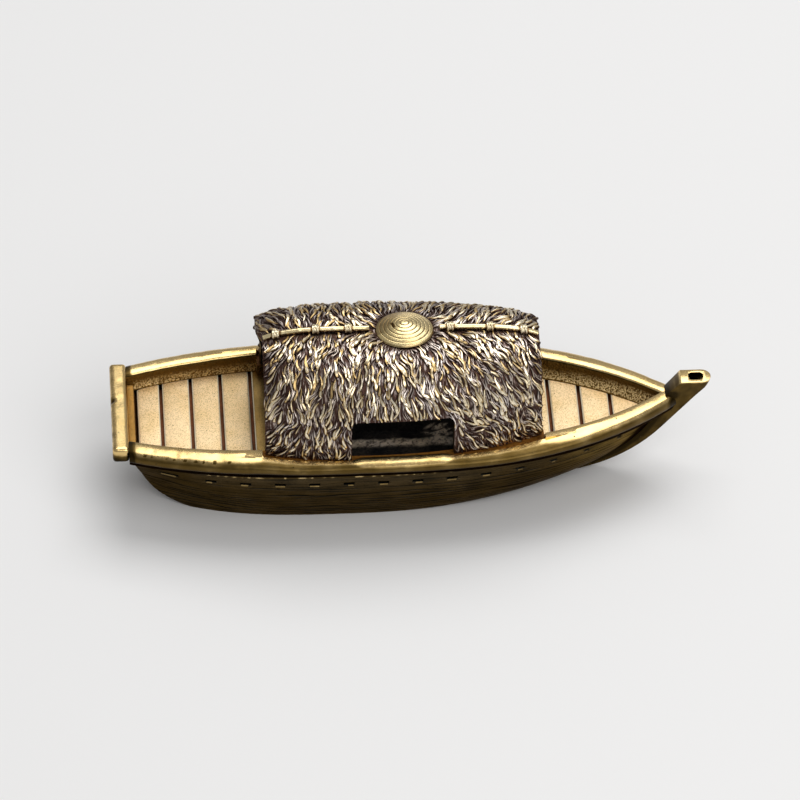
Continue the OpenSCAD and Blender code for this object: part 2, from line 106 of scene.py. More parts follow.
# Form of the hull, as in the solids
HEAD_RISE = 3.1
RAIL_TOP = HEAD_TOP - HEAD_RISE
STEM_LEAN = math.radians(50)
STEM_R = 25.5
STEM_HALF = 1.4
MOUTH_BACK = 2.4
WIDEST_X = -12.0
HALF_BOTTOM = 10.3
RAIL_OVERHANG = 1.0
STERN_RUN = 55.0
BOTTOM_RUN = 38.0
STERN_RAKE = 4.4
STERN_TUCK = 5.6
BOW_SET = 0.3
BOW_DRAW = 1.9
PLAN_POWER = 2.9
WALL = 2.4
STRAKE_WALL = 1.2
DENT_LENGTH = 1.7
DENT_HEIGHT = 0.6
DENT_DEPTH = 0.45
DENT_PITCH = 5.7

# Form of the rails and of the rebate in which the canopy stands
RAIL_WIDTH = 3.3
RAIL_SWELL = 0.5
STARBOARD_EXTRA = 0.6
BOW_EXTRA = 0.4
STERN_SHEER = 0.6
BOW_SHEER = 0.3
STERN_FOOT = 4.1
BOW_FOOT = 5.8
RAIL_STERN_REACH = 2.6
RAIL_BOW_REACH = 0.6
RAIL_STERN_POWER = 2.5
RAIL_BOW_POWER = 3.2
CREST = 1.6
FOOT_CREST = 0.89
CANOPY_CLEAR = 0.3
END_CLEAR = 0.4
SHOULDER = 0.15

# Form of the canopy
CANOPY_LENGTH = 46.0
CANOPY_WALL = 1.3
CANOPY_RISE = 16.1
PORT_REACH = 0.8
PORT_RISE = 0.35
THATCH_DEPTH = 0.32
TIER_Z = LEDGE + 7.0
STERN_TAPER = 1.8
BOW_TAPER = 2.4
RIDGE_DROP = 1.9
RIDGE_TILT = 0.8
RIDGE_END = 1.04
ARCH_POWER = 2.7
STERN_END = BOW_END - CANOPY_LENGTH
CANOPY_MID = (STERN_END + BOW_END) / 2
BELLY_BACK = 4.5
BELLY_X = CANOPY_MID - BELLY_BACK
WINDOW_BACK = 0.3
WINDOW_MID = CANOPY_MID - WINDOW_BACK
WINDOW_HALF = 8.5
WINDOW_TOP = LEDGE + 7.4
WINDOW_CORNER = 1.0
HAT_X = (HAT_LOW[0] + HAT_HIGH[0]) / 2
HAT_R = (HAT_HIGH[0] - HAT_LOW[0]) / 2
HAT_SINK = 0.55
HAT_SEAT = LEDGE + CANOPY_RISE - HAT_SINK
HAT_BRIM = 0.4
HAT_COILS = 7
HAT_SQUASH = 0.95
STERN_TIES = (2, 8.6, 14)
BOW_TIES = (2.3, 7.9, 14.5)
POLE_LIFT = 0.24
POLE_R = 0.46
POLE_JOINT = 2.9
POLE_TUCK = 0.8
KNOT_R = 0.72
KNOT_LEAN = 0.4
BINDING_R = 0.2

# Strands of the thatch: points along each and the share of the radius left at the tip, then the strands on
# each side of the hat, and the shares of its radius that it covers and at which those strands are rooted
FINE_POINTS = 8
FINE_TIP = 0.3
LOCK_POINTS = 9
LOCK_TIP = 0.5
HAT_STRANDS = 34
HAT_COVER = 0.88
HAT_ROOTS = 0.92

# Details that the solids don't have: rounded edges, the beam's nick, and ash with painted highlights in the
# well
TRANSOM_ROUND = 0.12
PLANK_ROUND = 0.34
BEAM_ROUND = 0.62
STEM_ROUND = 0.2
NICK_Y = 1.7
NICK_DEPTH = 0.45
HIGHLIGHT_PATCH_X = 5.2
HIGHLIGHT_PATCH_Y = 8.7
CRUST_Y = 5.6
CRUST_HEIGHT = 0.3

# Density of the meshes: points along a side of the hull, and the distance between cuts through the stem
HULL_COLUMNS = 150
STEM_CUT = 0.5

# Materials by their place in the list of a rail, the hull and the transom, a strake, a plank and the canopy
# The rails' fourth metal, the hull's dark brass, paints the shade in the groove under each rail.
PLAIN, PEBBLED, BROWN, GROOVE_SHADE = 0, 1, 2, 3
OUTSIDE, INSIDE = 0, 1
# A strake's second metal paints highlights: a dotted line under the rail and the lower lips of the dents.
GRAINED, HIGHLIGHTED = 0, 1
PLANK_TOP, PLANK_EDGE, PLANK_FLANK = 0, 1, 2
THATCHED, SOOT_AND_SHADE, BARE_END = 0, 1, 2

# Finish of the metals: where the hull turns to gold, clouds in the film, drift of the tint, and pits
BOW_WEAR = 21.0
BOW_WORN = 33.0
CLOUD_SIZE = 2.6
CLOUD_SHARE = 0.45
DRIFT_SIZE = 5.0
PIT_DEPTH = 0.08

# Places of the colours among the sockets of a mix node
COLOUR_A, COLOUR_B, COLOUR_RESULT = 6, 7, 2

# Stage in metres: floor, lamps with their place, size and power, and the camera, whose aim is in millimetres
FLOOR_HALF = 3
FLOOR_COLOUR = (0.85, 0.845, 0.84, 1)
FLOOR_ROUGHNESS = 0.7
SKY_STRENGTH = 0.36
LAMP_TARGET = Vector((0, 0, 0.01))
LAMPS = {
    "overhead": (Vector((0.15, 0.36, 0.84)), 0.7, 4.3),
    "front": (Vector((0.36, -0.6, 0.68)), 0.8, 4.1),
}
AZIMUTH = math.radians(-3.45)
ELEVATION = math.radians(40)
ROLL = math.radians(0.38)
AIM_HEIGHT = 15.5
AIM_LEFT = 1.83
AIM_UP = 0.1
CAMERA_DISTANCE = 1.2667
CAMERA_LENS = 342
CAMERA_SENSOR = 36

# Line of the stem: an arc at its foot, then a straight lean
ARC_TOP = STEM_R * (1 - math.cos(STEM_LEAN))
ARC_RUN = STEM_R * math.sin(STEM_LEAN)
FOOT_X = TIP_X - ARC_RUN - (HEAD_TOP - ARC_TOP) / math.tan(STEM_LEAN)


def stem_x(z):
    """Outer line of the stem at height z: an arc from the bottom, then a straight lean."""
    if z < ARC_TOP:
        return FOOT_X + math.sqrt(STEM_R ** 2 - (STEM_R - z) ** 2)
    return FOOT_X + ARC_RUN + (z - ARC_TOP) / math.tan(STEM_LEAN)


def half_max(z):
    """Half width of the hull at its widest section."""
    flare = HALF_BEAM - RAIL_OVERHANG - HALF_BOTTOM
    return HALF_BOTTOM + flare * math.sin(math.pi / 2 * z / RAIL_TOP)


def bow_run(z):
    """Length over which the outline at height z draws in to the bow."""
    return stem_x(z) - BOW_SET - BOW_DRAW * (z / RAIL_TOP) ** 2 - WIDEST_X


def fullness(x, z):
    """Share of the widest half width that the outline at height z has at x."""
    aft = BOTTOM_RUN + (STERN_RUN - BOTTOM_RUN) * (z / RAIL_TOP) ** 2
    run = bow_run(z) if x > WIDEST_X else aft
    return 1 - (abs(x - WIDEST_X) / run) ** PLAN_POWER


def hull_half(x, z):
    """Half width of the hull's outer face."""
    return half_max(z) * fullness(x, z)


def rail_half(x):
    """Half width over the rails, which draw in later than the sides."""
    if x > WIDEST_X:
        run = bow_run(RAIL_TOP) + RAIL_BOW_REACH
        return HALF_BEAM * (1 - ((x - WIDEST_X) / run) ** RAIL_BOW_POWER)
    run = STERN_RUN + RAIL_STERN_REACH
    return HALF_BEAM * (1 - ((WIDEST_X - x) / run) ** RAIL_STERN_POWER)


def bow_x(z, half):
    """Place towards the bow where the outline at height z has narrowed to a half width."""
    return WIDEST_X + bow_run(z) * (1 - half / half_max(z)) ** (1 / PLAN_POWER)


def rail_bow_x(half):
    """Place towards the bow where the rails have narrowed to a half width."""
    run = bow_run(RAIL_TOP) + RAIL_BOW_REACH
    return WIDEST_X + run * (1 - half / HALF_BEAM) ** (1 / RAIL_BOW_POWER)


def stern_face(z):
    """Outer face of the stern at height z."""
    t = max(1 - z / RAIL_FOOT, 0)
    return STERN_X + STERN_RAKE * t + STERN_TUCK * t ** 8


def canopy_half(x):
    """Half width of the canopy at its feet."""
    x = min(max(x, STERN_END), BOW_END)
    reach, taper = (BELLY_X - STERN_END, STERN_TAPER) if x < BELLY_X else (BOW_END - BELLY_X, BOW_TAPER)
    return rail_half(x) - CREST - CANOPY_CLEAR - taper * ((x - BELLY_X) / reach) ** 2


def ridge_z(x):
    """Height of the canopy's ridge."""
    u = (x - CANOPY_MID) / (CANOPY_LENGTH / 2)
    u = min(max(u, -RIDGE_END), RIDGE_END)
    return LEDGE + CANOPY_RISE - RIDGE_TILT / 2 * u - RIDGE_DROP * u ** 6


def arch(x, angle, off):
    """Point of the canopy's arch at x, drawn in by off; the angle goes from 0 at port to pi at starboard."""
    c = math.cos(angle)
    w = canopy_half(x) - off
    h = ridge_z(x) - LEDGE - off
    y = math.copysign(w * abs(c) ** (2 / ARCH_POWER), c)
    return y, LEDGE + h * max(math.sin(angle), 0) ** (2 / ARCH_POWER)


def arch_height(x, y, z):
    """Distance of a point above the canopy's face, negative below it."""
    w, h = canopy_half(x), ridge_z(x) - LEDGE
    level = (abs(y) / w) ** ARCH_POWER + (max(z - LEDGE, 0) / h) ** ARCH_POWER
    return (level ** (1 / ARCH_POWER) - 1) * math.hypot(y, z - LEDGE)


def arch_normal(x, y, z):
    """Direction across and up in which the canopy's face looks."""
    across = math.copysign(abs(y) ** (ARCH_POWER - 1) / canopy_half(x) ** ARCH_POWER, y)
    upward = max(z - LEDGE, 0) ** (ARCH_POWER - 1) / (ridge_z(x) - LEDGE) ** ARCH_POWER
    size = math.hypot(across, upward) or 1.0
    return across / size, upward / size


def port_rise(x, side, z):
    """How far the thatch stands up at the far corners of the port slope."""
    ends = smooth_step(13, 22, abs(x - CANOPY_MID))
    return PORT_RISE * ends * smooth_step(LEDGE + 5, LEDGE + 11, z) if side > 0 else 0.0


def smooth_step(low, high, value):
    """Eased ramp from 0 at low to 1 at high."""
    t = min(max((value - low) / (high - low), 0), 1)
    return t * t * (3 - 2 * t)


def ripple(x, y, z, size):
    """Smooth noise from -1 to 1 with bumps of about the given size."""
    return noise.noise(Vector((x, y, z)) / size)


def colour_setting(name, description, default):
    """Property that holds a colour."""
    return bpy.props.FloatVectorProperty(
        name=name, description=description, subtype="COLOR", size=3, min=0, max=1, default=default)


def length_setting(name, description, default, least, most):
    """Property that holds a length in millimetres."""
    return bpy.props.FloatProperty(
        name=name, description=description + ", in millimetres", default=default, min=least, max=most)


class BoatLook(bpy.types.PropertyGroup):
    """Sizes and colours of the boat's finish."""

    bright: colour_setting("Rubbed brass", "Colour of brass that hands keep bright", (0.83, 0.61, 0.28))
    film: colour_setting("Rail film", "Colour of the brown film on the rails", (0.10, 0.062, 0.016))
    plank: colour_setting("Deck brass", "Colour of the matte deck planks", (0.97, 0.76, 0.47))
    # The hull's film is set darker than its own patina, as painted shade on the hull's sides.
    patina: colour_setting("Hull patina", "Colour of the dark film on the hull", (0.013, 0.0125, 0.0105))
    crest: colour_setting("Thatch crests", "Colour of the rubbed crests of the thatch", (0.95, 0.85, 0.66))
    valley: colour_setting("Thatch valleys", "Colour of the film between the strands", (0.07, 0.037, 0.028))
    # This colour also paints the highlights in the well.
    ash_and_highlights: colour_setting("Ash", "Colour of the ash in the cabin well", (0.72, 0.60, 0.48))
    grain_pitch: length_setting("Grain pitch", "Distance between the hull's grain lines", 0.82, 0.4, 2)
    grain_depth: length_setting("Grain depth", "Depth of the hull's grain lines", 0.13, 0, 0.3)
    wobble: length_setting("Hand wobble", "Unevenness of the rails and the stern beam", 0.07, 0, 0.2)


class ThatchLook(bpy.types.PropertyGroup):
    """Sizes of the canopy's strands."""

    seed: bpy.props.IntProperty(
        name="Seed", description="Start of the strands' random numbers", default=7, min=0)
    fine_step: length_setting("Fine step", "Distance between fine strands along the boat", 0.38, 0.3, 1.5)
    fine_row: length_setting("Fine row", "Distance between rows of fine strands down the slope", 1.7, 0.8, 4)
    lock_step: length_setting("Lock step", "Distance between locks along the boat", 1.0, 0.6, 3)
    lock_row: length_setting("Lock row", "Distance between rows of locks down the slope", 1.9, 1, 4)
    strand_length: length_setting("Strand length", "Mean length of a strand", 3.2, 1, 5)
    strand_radius: length_setting("Strand radius", "Mean radius of a lock near its tip", 0.255, 0.1, 0.5)


def boat_look():
    """The boat's settings."""
    return bpy.context.scene.incense_boat


def thatch_look():
    """The thatch's settings."""
    return bpy.context.scene.incense_thatch


# Meshes

def weld(bm, reach=1e-7):
    """Joins the points of a mesh that lie within a reach in metres."""
    bmesh.ops.remove_doubles(bm, verts=bm.verts, dist=reach)


def fill_holes(bm):
    """Closes the open edges of a mesh."""
    bmesh.ops.holes_fill(bm, edges=[e for e in bm.edges if e.is_boundary], sides=0)


def slice_mesh(bm, normal, places):
    """Cuts the faces of a mesh along planes with one normal, at places in millimetres."""
    for place in places:
        geometry = bm.verts[:] + bm.edges[:] + bm.faces[:]
        middle = [place * part * MM for part in normal]
        bmesh.ops.bisect_plane(bm, geom=geometry, plane_co=middle, plane_no=normal)


def loft(rings, ring_closed=True, caps=True):
    """Grid of quads moved onto rings of points.

    A point is (x, y, z, rub, metal): its place in millimetres, its rub, and the place of its material among
    the piece's materials.
    """
    rows, cols = len(rings), len(rings[0])
    extra = 1 if ring_closed else 0
    points = [ring[col % cols] for ring in rings for col in range(cols + extra)]
    bm = bmesh.new()
    bmesh.ops.create_grid(bm, x_segments=cols + extra - 1, y_segments=rows - 1, size=1)
    bm.verts.ensure_lookup_table()
    layer = bm.verts.layers.float.new("rub")
    for vert, (x, y, z, rub, _) in zip(bm.verts, points):
        vert.co = Vector((x, y, z)) * MM
        vert[layer] = rub
    for face in bm.faces:
        marks = sorted(points[v.index][-1] for v in face.verts)
        face.material_index = marks[1]
    weld(bm)
    if caps:
        fill_holes(bm)
    bmesh.ops.recalc_face_normals(bm, faces=bm.faces)
    return bm


def solid_copy(node):
    """Merged copy of a solid's mesh with its flat faces joined."""
    bm = bmesh.new()
    bm.from_mesh(frame["nodes"][node].data)
    weld(bm, 1e-6)
    bmesh.ops.dissolve_limit(bm, angle_limit=math.radians(1), verts=bm.verts, edges=bm.edges)
    return bm


def round_edges(bm, width, segments=3, least=30):
    """Rounds the edges whose faces meet at more than the least angle, in degrees."""
    sharp = [e for e in bm.edges if e.is_manifold and e.calc_face_angle(0) > math.radians(least)]
    bmesh.ops.bevel(bm, geom=sharp, offset=width * MM, offset_type="OFFSET", affect="EDGES",
                    segments=segments, profile=0.5, material=-1, clamp_overlap=True)


def new_mesh(name, bm):
    """Mesh from a bmesh, which is freed."""
    mesh = bpy.data.meshes.new(name)
    bm.to_mesh(mesh)
    bm.free()
    return mesh


def new_object(name, data):
    """Object in the scene."""
    obj = bpy.data.objects.new(name, data)
    bpy.context.scene.collection.objects.link(obj)
    return obj


def piece(mesh, materials, body, slot, *nodes):
    """Finished object from a mesh, riding on a body and standing for the named solids."""
    mesh.polygons.foreach_set("use_smooth", [True] * len(mesh.polygons))
    mesh.set_sharp_from_angle(angle=math.radians(40))
    for material in materials:
        mesh.materials.append(material)
    obj = new_object(mesh.name, mesh)
    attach(obj, body)
    if nodes:
        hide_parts(*nodes)
    return obj


def tube_mesh(name, paths, sides=1):
    """Mesh of round strands with closed ends. A path is a list of (x, y, z, radius) in millimetres."""
    curve = bpy.data.curves.new(name, "CURVE")
    curve.dimensions = "3D"
    curve.bevel_depth = MM
    curve.bevel_resolution = sides
    curve.use_fill_caps = True
    for path in paths:
        spline = curve.splines.new("POLY")
        spline.points.add(len(path) - 1)
        for point, (x, y, z, radius) in zip(spline.points, path):
            point.co = (x * MM, y * MM, z * MM, 1)
            point.radius = radius
    carrier = new_object(name, curve)
    graph = bpy.context.evaluated_depsgraph_get()
    evaluated = bpy.data.meshes.new_from_object(carrier.evaluated_get(graph))
    bm = bmesh.new()
    bm.from_mesh(evaluated)
    weld(bm)
    bpy.data.objects.remove(carrier)
    bpy.data.curves.remove(curve)
    bpy.data.meshes.remove(evaluated)
    return new_mesh(name, bm)


def set_rub(mesh, value):
    """Writes the rub attribute of a mesh from a function of a point in millimetres."""
    attribute = mesh.attributes.new("rub", "FLOAT", "POINT")
    for vert, item in zip(mesh.vertices, attribute.data):
        item.value = value(vert.co / MM)


# Materials

def set_inputs(tree, node, inputs):
    """Links the inputs of a node that are given as sockets and sets the others."""
    for name, value in inputs.items():
        if isinstance(value, bpy.types.NodeSocket):
            tree.links.new(value, node.inputs[name])
        else:
            node.inputs[name].default_value = value


def add_node(tree, kind, inputs, **settings):
    """New shader node with its settings and inputs."""
    node = tree.nodes.new("ShaderNode" + kind)
    for name, value in settings.items():
        setattr(node, name, value)
    set_inputs(tree, node, inputs)
    return node


def new_material(name):
    """Material with its node tree and its shader."""
    material = bpy.data.materials.new(name)
    material.use_nodes = True
    tree = material.node_tree
    tree.nodes.clear()
    shader = add_node(tree, "BsdfPrincipled", {})
    add_node(tree, "OutputMaterial", {"Surface": shader.outputs["BSDF"]})
    return material, tree, shader


def object_place(tree):
    """Place on the piece, in metres."""
    return add_node(tree, "TexCoord", {}).outputs["Object"]


def noise_node(tree, size, detail, stretch=(1, 1, 1)):
    """Noise with grains of about the given size in millimetres."""
    mapping = add_node(tree, "Mapping", {"Vector": object_place(tree), "Scale": stretch})
    grains = {"Vector": mapping.outputs["Vector"], "Scale": 1 / (size * MM), "Detail": detail}
    return add_node(tree, "TexNoise", grains).outputs["Fac"]


def pit_node(tree, size, low, high, share):
    """1 on the plain surface and 0 in small round pits, which a share of the cells has."""
    cells = add_node(tree, "TexVoronoi", {"Vector": object_place(tree), "Scale": 1 / (size * MM)})
    split = add_node(tree, "SeparateColor", {"Color": cells.outputs["Color"]})
    plain = ramp(tree, split.outputs["Red"], share - 0.01, share + 0.01)
    return maths(tree, "MAXIMUM", ramp(tree, cells.outputs["Distance"], low, high), plain)


def bow_node(tree):
    """0 along the hull and 1 near the bow, where it is rubbed to gold."""
    split = add_node(tree, "SeparateXYZ", {"Vector": object_place(tree)})
    return ramp(tree, split.outputs["X"], BOW_WEAR * MM, BOW_WORN * MM)


def rub_node(tree):
    """The rub that the points of a piece carry."""
    return add_node(tree, "Attribute", {}, attribute_name="rub").outputs["Fac"]


def ramp(tree, value, low, high, to_low=0.0, to_high=1.0):
    """Smooth map of a value from one range to another."""
    ranges = {"Value": value, "From Min": low, "From Max": high, "To Min": to_low, "To Max": to_high}
    return add_node(tree, "MapRange", ranges, interpolation_type="SMOOTHSTEP").outputs["Result"]


def maths(tree, operation, first, second):
    """Result of an operation on two values."""
    return add_node(tree, "Math", {0: first, 1: second}, operation=operation).outputs["Value"]


def blend_colours(tree, factor, first, second):
    """Blend of two colours, each a socket or three numbers."""
    inputs = {"Factor": factor}
    for place, colour in ((COLOUR_A, first), (COLOUR_B, second)):
        inputs[place] = colour if isinstance(colour, bpy.types.NodeSocket) else (*colour, 1)
    return add_node(tree, "Mix", inputs, data_type="RGBA").outputs[COLOUR_RESULT]


def bump_node(tree, height, distance, before=None):
    """Normal of a surface with bumps, on top of the normal before it."""
    bumps = {"Height": height, "Distance": distance * MM, "Strength": 1.0}
    if before:
        bumps["Normal"] = before
    return add_node(tree, "Bump", bumps).outputs["Normal"]


def tinted(colour, red, green, blue):
    """A colour with its three parts scaled."""
    return colour[0] * red, colour[1] * green, colour[2] * blue


def brass_material(name, bright, dark, rub, rough, fine, mottle=0.0, pits=None, metallic=1.0, rim=(1, 1, 1),
                   flank=None, fore=None):
    """Brass that is bright where rub is 1, keeps a dark film where it is 0 and is near-black where it is -1.

    rough holds the roughness of bright and filmed metal, fine the size and the depth of its grain in
    millimetres, mottle how much the grain darkens the colour, rim the tint of reflections at flat angles,
    flank a colour between the dark and the bright one and fore the bright colour near the bow. Besides wear,
    rub carries painted shade, near-black in grooves and creases, and painted highlights in places.
    """
    if name in bpy.data.materials:
        return bpy.data.materials[name]
    material, tree, shader = new_material(name)
    wear_and_painted_light = rub(tree)
    cloud = maths(tree, "SUBTRACT", noise_node(tree, CLOUD_SIZE, 5), 0.5)
    mask = ramp(tree, maths(tree, "ADD", wear_and_painted_light, maths(tree, "MULTIPLY", cloud, CLOUD_SHARE)), 0.0, 1.0)
    drift = ramp(tree, noise_node(tree, DRIFT_SIZE, 3), 0.35, 0.7)
    tint = blend_colours(tree, drift, bright, tinted(bright, 0.92, 0.88, 0.78))
    if fore:
        tint = blend_colours(tree, bow_node(tree), tint, fore)
    film = blend_colours(tree, ramp(tree, wear_and_painted_light, -0.8, 0.05), tinted(dark, 0.22, 0.22, 0.22), dark)
    if flank:
        film = blend_colours(tree, ramp(tree, mask, 0.1, 0.5), film, flank)
    colour = blend_colours(tree, ramp(tree, mask, 0.45, 0.95) if flank else mask, film, tint)
    speck = noise_node(tree, fine[0], 6)
    if mottle:
        colour = blend_colours(tree, ramp(tree, speck, 0.36, 0.53, mottle, 0.0), colour, dark)
    grit = maths(tree, "MULTIPLY", maths(tree, "SUBTRACT", speck, 0.5), 0.25)
    normal = bump_node(tree, speck, fine[1])
    if pits:
        hole = pit_node(tree, *pits)
        colour = blend_colours(tree, hole, tinted(dark, 0.6, 0.6, 0.6), colour)
        normal = bump_node(tree, hole, PIT_DEPTH, normal)
    set_inputs(tree, shader, {
        "Base Color": colour,
        "Roughness": maths(tree, "ADD", ramp(tree, mask, 0, 1, rough[1], rough[0]), grit),
        "Normal": normal,
        "Metallic": metallic,
        "Specular IOR Level": 0.5 * metallic ** 2,
        "Specular Tint": (*rim, 1),
    })
    return material


def even_rub(value):
    """A rub mask that is the same all over, broken up by broad noise."""
    def build(tree):
        return ramp(tree, noise_node(tree, 7.0, 4), 0.2, 0.8, value - 0.12, value + 0.12)
    return build


def rail_brass():
    """Rubbed brass of the rails, the stern beam and the stem."""
    look = boat_look()
    return brass_material("rail_metal", look.bright, look.film, rub_node, (0.22, 0.36), (0.3, 0.008), 0.08,
                          (1.2, 0.05, 0.12, 0.3))


def stipple_brass():
    """Inner walls with a pebbled surface whose bumps are rubbed."""
    if "wall_metal" in bpy.data.materials:
        return bpy.data.materials["wall_metal"]
    look = boat_look()
    material, tree, shader = new_material("wall_metal")
    bead = ramp(tree, noise_node(tree, 0.3, 3), 0.38, 0.62)
    patch = ramp(tree, noise_node(tree, 1.8, 3), 0.3, 0.62, 0.7, 1.0)
    shade = ramp(tree, rub_node(tree), -0.65, 0.2)
    rubbed = maths(tree, "MULTIPLY", maths(tree, "MULTIPLY", bead, patch), shade)
    bumps = tinted(look.bright, 1.1, 1.08, 1.1)
    set_inputs(tree, shader, {
        "Base Color": blend_colours(tree, rubbed, tinted(look.film, 1.3, 1.1, 0.9), bumps),
        "Normal": bump_node(tree, bead, 0.06),
        "Roughness": 0.36,
        "Metallic": 1.0,
    })
    return material


def board_brass():
    """Brownish gold of the transom's inner board."""
    look = boat_look()
    return brass_material("board_metal", tinted(look.bright, 0.56, 0.40, 0.22), look.film,
                          even_rub(0.7), (0.34, 0.46), (0.5, 0.03), 0.35)


def ledge_brass():
    """Dull orange-brown metal of the ledge under the canopy."""
    look = boat_look()
    return brass_material("ledge_metal", tinted(look.bright, 0.75, 0.44, 0.18),
                          tinted(look.film, 1.0, 0.6, 0.3), rub_node, (0.42, 0.5), (0.5, 0.03), 0.4,
                          metallic=0.5)


def hull_brass():
    """Dark brass of the hull, rubbed to gold near the bow; its film is darker than the patina alone, as
    painted shade on the sides.
    """
    look = boat_look()
    return brass_material("hull_metal", tinted(look.bright, 0.125, 0.12, 0.13), look.patina,
                          rub_node, (0.32, 0.46), (0.3, 0.03), 0.3, rim=(0.52, 0.46, 0.40),
                          fore=tinted(look.bright, 0.36, 0.33, 0.24))


def well_brass():
    """Soot in the cabin well and painted shade under the canopy, with pinkish grey ash and painted highlights
    where its rub is high.
    """
    look = boat_look()
    return brass_material("well_metal", look.ash_and_highlights, tinted(look.patina, 0.8, 0.8, 1.0), rub_node, (0.35, 0.5),
                          (0.5, 0.25), 0.7, metallic=0.3)


def bed_brass():
    """Reddish brown floor of the gaps between the planks."""
    look = boat_look()
    return brass_material("bed_metal", tinted(look.bright, 0.42, 0.2, 0.19),
                          tinted(look.film, 0.5, 0.35, 0.5), even_rub(0.55), (0.4, 0.5), (0.6, 0.05), 0.3,
                          metallic=0.3)


def plank_brass():
    """Pale matte brass of the planks."""
    look = boat_look()
    return brass_material("plank_metal", look.plank, tinted(look.film, 3.6, 3.6, 3.8), even_rub(1.0),
                          (0.54, 0.58), (0.16, 0.03), 0.6, (0.8, 0.07, 0.15, 0.35))


def shaded_plank_brass():
    """Dull gold of the plank beside the canopy, a darker copy of the deck brass as painted shade and painted
    reflection from the canopy.
    """
    look = boat_look()
    return brass_material("bar_metal", tinted(look.bright, 0.62, 0.55, 0.42), look.film, even_rub(0.7),
                          (0.36, 0.46), (0.3, 0.02), 0.3)


def plank_highlight_brass():
    """Pale edges of the planks, a painted highlight along each gap."""
    look = boat_look()
    return brass_material("plank_edge_metal", tinted(look.plank, 1.03, 1.2, 1.5), look.film, even_rub(1.1),
                          (0.3, 0.4), (0.2, 0.01), metallic=0.3)


def strand_brass():
    """Cool grey metal of the fine strands."""
    look = boat_look()
    return brass_material("strand_metal", tinted(look.crest, 0.99, 0.99, 1.18), look.valley, rub_node,
                          (0.3, 0.42), (0.22, 0.012))


def lock_brass():
    """Rubbed locks with golden flanks."""
    look = boat_look()
    return brass_material("lock_metal", look.crest, look.valley, rub_node, (0.26, 0.4), (0.22, 0.012),
                          flank=tinted(look.bright, 0.7, 0.66, 0.6))


def ground_brass():
    """Film between the strands, with fine pale streaks down the slopes that stand for fine strands, coloured
    as their painted highlights.
    """
    look = boat_look()

    def streaks(tree):
        return ramp(tree, noise_node(tree, 0.3, 3, (1, 0.2, 0.2)), 0.45, 0.75, 0.0, 0.65)
    return brass_material("ground_metal", tinted(look.crest, 0.85, 0.82, 1.0), look.valley, streaks,
                          (0.4, 0.44), (0.22, 0.03))


def hat_brass():
    """Pale gold of the straw hat."""
    look = boat_look()
    return brass_material("hat_metal", tinted(look.bright, 1.0, 1.1, 1.3), tinted(look.film, 1.3, 1.1, 1.0),
                          rub_node, (0.26, 0.36), (0.25, 0.012), 0.2)


def pole_brass():
    """Pale gold of the ridge poles."""
    look = boat_look()
    return brass_material("pole_metal", tinted(look.bright, 1.14, 1.3, 1.7), tinted(look.film, 1.8, 1.2, 0.8),
                          rub_node, (0.24, 0.4), (0.25, 0.008))


def tie_brass():
    """Pale metal of the lashings."""
    look = boat_look()
    return brass_material("tie_metal", tinted(look.bright, 1.14, 1.36, 2.1), look.film, rub_node,
                          (0.34, 0.4), (0.3, 0.02))


# Pieces

def hull_ring(z, off, x0, x1):
    """Outline of the hull at height z: starboard to the bow, port to the stern, then across the stern."""
    turns = [math.pi * i / HULL_COLUMNS for i in range(HULL_COLUMNS + 1)]
    xs = [x0 + (x1 - x0) * (1 - math.cos(turn)) / 2 for turn in turns]
    side = [(x, hull_half(x, z) - off) for x in xs]
    ring = [(x, -y, z) for x, y in side] + [(x, y, z) for x, y in reversed(side)]
    across = 24
    y0 = side[0][1]
    return ring + [(x0, y0 - 2 * y0 * i / across, z) for i in range(1, across)]


def grain(x, y, z):
    """Depth share of the hull's grain lines: 1 in a line and 0 between lines."""
    pitch = boat_look().grain_pitch
    drift = 0.9 * ripple(x, y * 0.4, z * 6, 16) + 0.35 * ripple(x, y, z * 4, 5)
    line = abs(math.sin(math.pi * (z / pitch + drift)))
    strength = smooth_step(-0.35, 0.25, ripple(x + 40, y, z * 7, 9))
    return (1 - smooth_step(0.05, 0.45, line)) * (0.35 + 0.65 * strength)


def carve(point, depth):
    """Moves a point of the hull's side inwards."""
    x, y, z = point
    length = math.hypot(y, 0.3 * (x - WIDEST_X)) or 1.0
    return x - depth * 0.3 * (x - WIDEST_X) / length * 0.3, y - depth * y / length, z


def hull_rub(point, line):
    """Rub of the hull's side: dark in the grain lines, and near-black in the crease beside the stem as
    painted shade.
    """
    x, y, z = point
    # Painted shade in the crease where the sides meet the stem.
    crease = smooth_step(2.6, 0.6, bow_x(z, STEM_HALF) - x)
    return (0.7 - 1.5 * line + 0.35 * ripple(x, y, z * 3, 4)) * (1 - crease) - 0.9 * crease


def ash_and_highlights(point, floor):
    """Rub of the well: soot with a patch of painted highlights on the wall's foot, and a crust of ash along
    the floor speckled with painted glints.
    """
    x, y, z = point
    # The patch is painted light on the wall's foot; the crust is ash, speckled with painted glints.
    patch = smooth_step(3.2, 1.2, math.hypot(x - HIGHLIGHT_PATCH_X, 1.5 * (z - WELL_FLOOR), abs(y) - HIGHLIGHT_PATCH_Y))
    crust = smooth_step(1.4, 0.4, abs(abs(y) - CRUST_Y + 0.3 * ripple(x, 0, 0, 3))) if floor else 0
    patch *= 1.2 * smooth_step(-0.2, 0.3, ripple(x, y, z, 0.9))
    return 1.3 * patch + crust * (0.7 + 0.6 * ripple(x, y, z, 0.8)) + 0.08


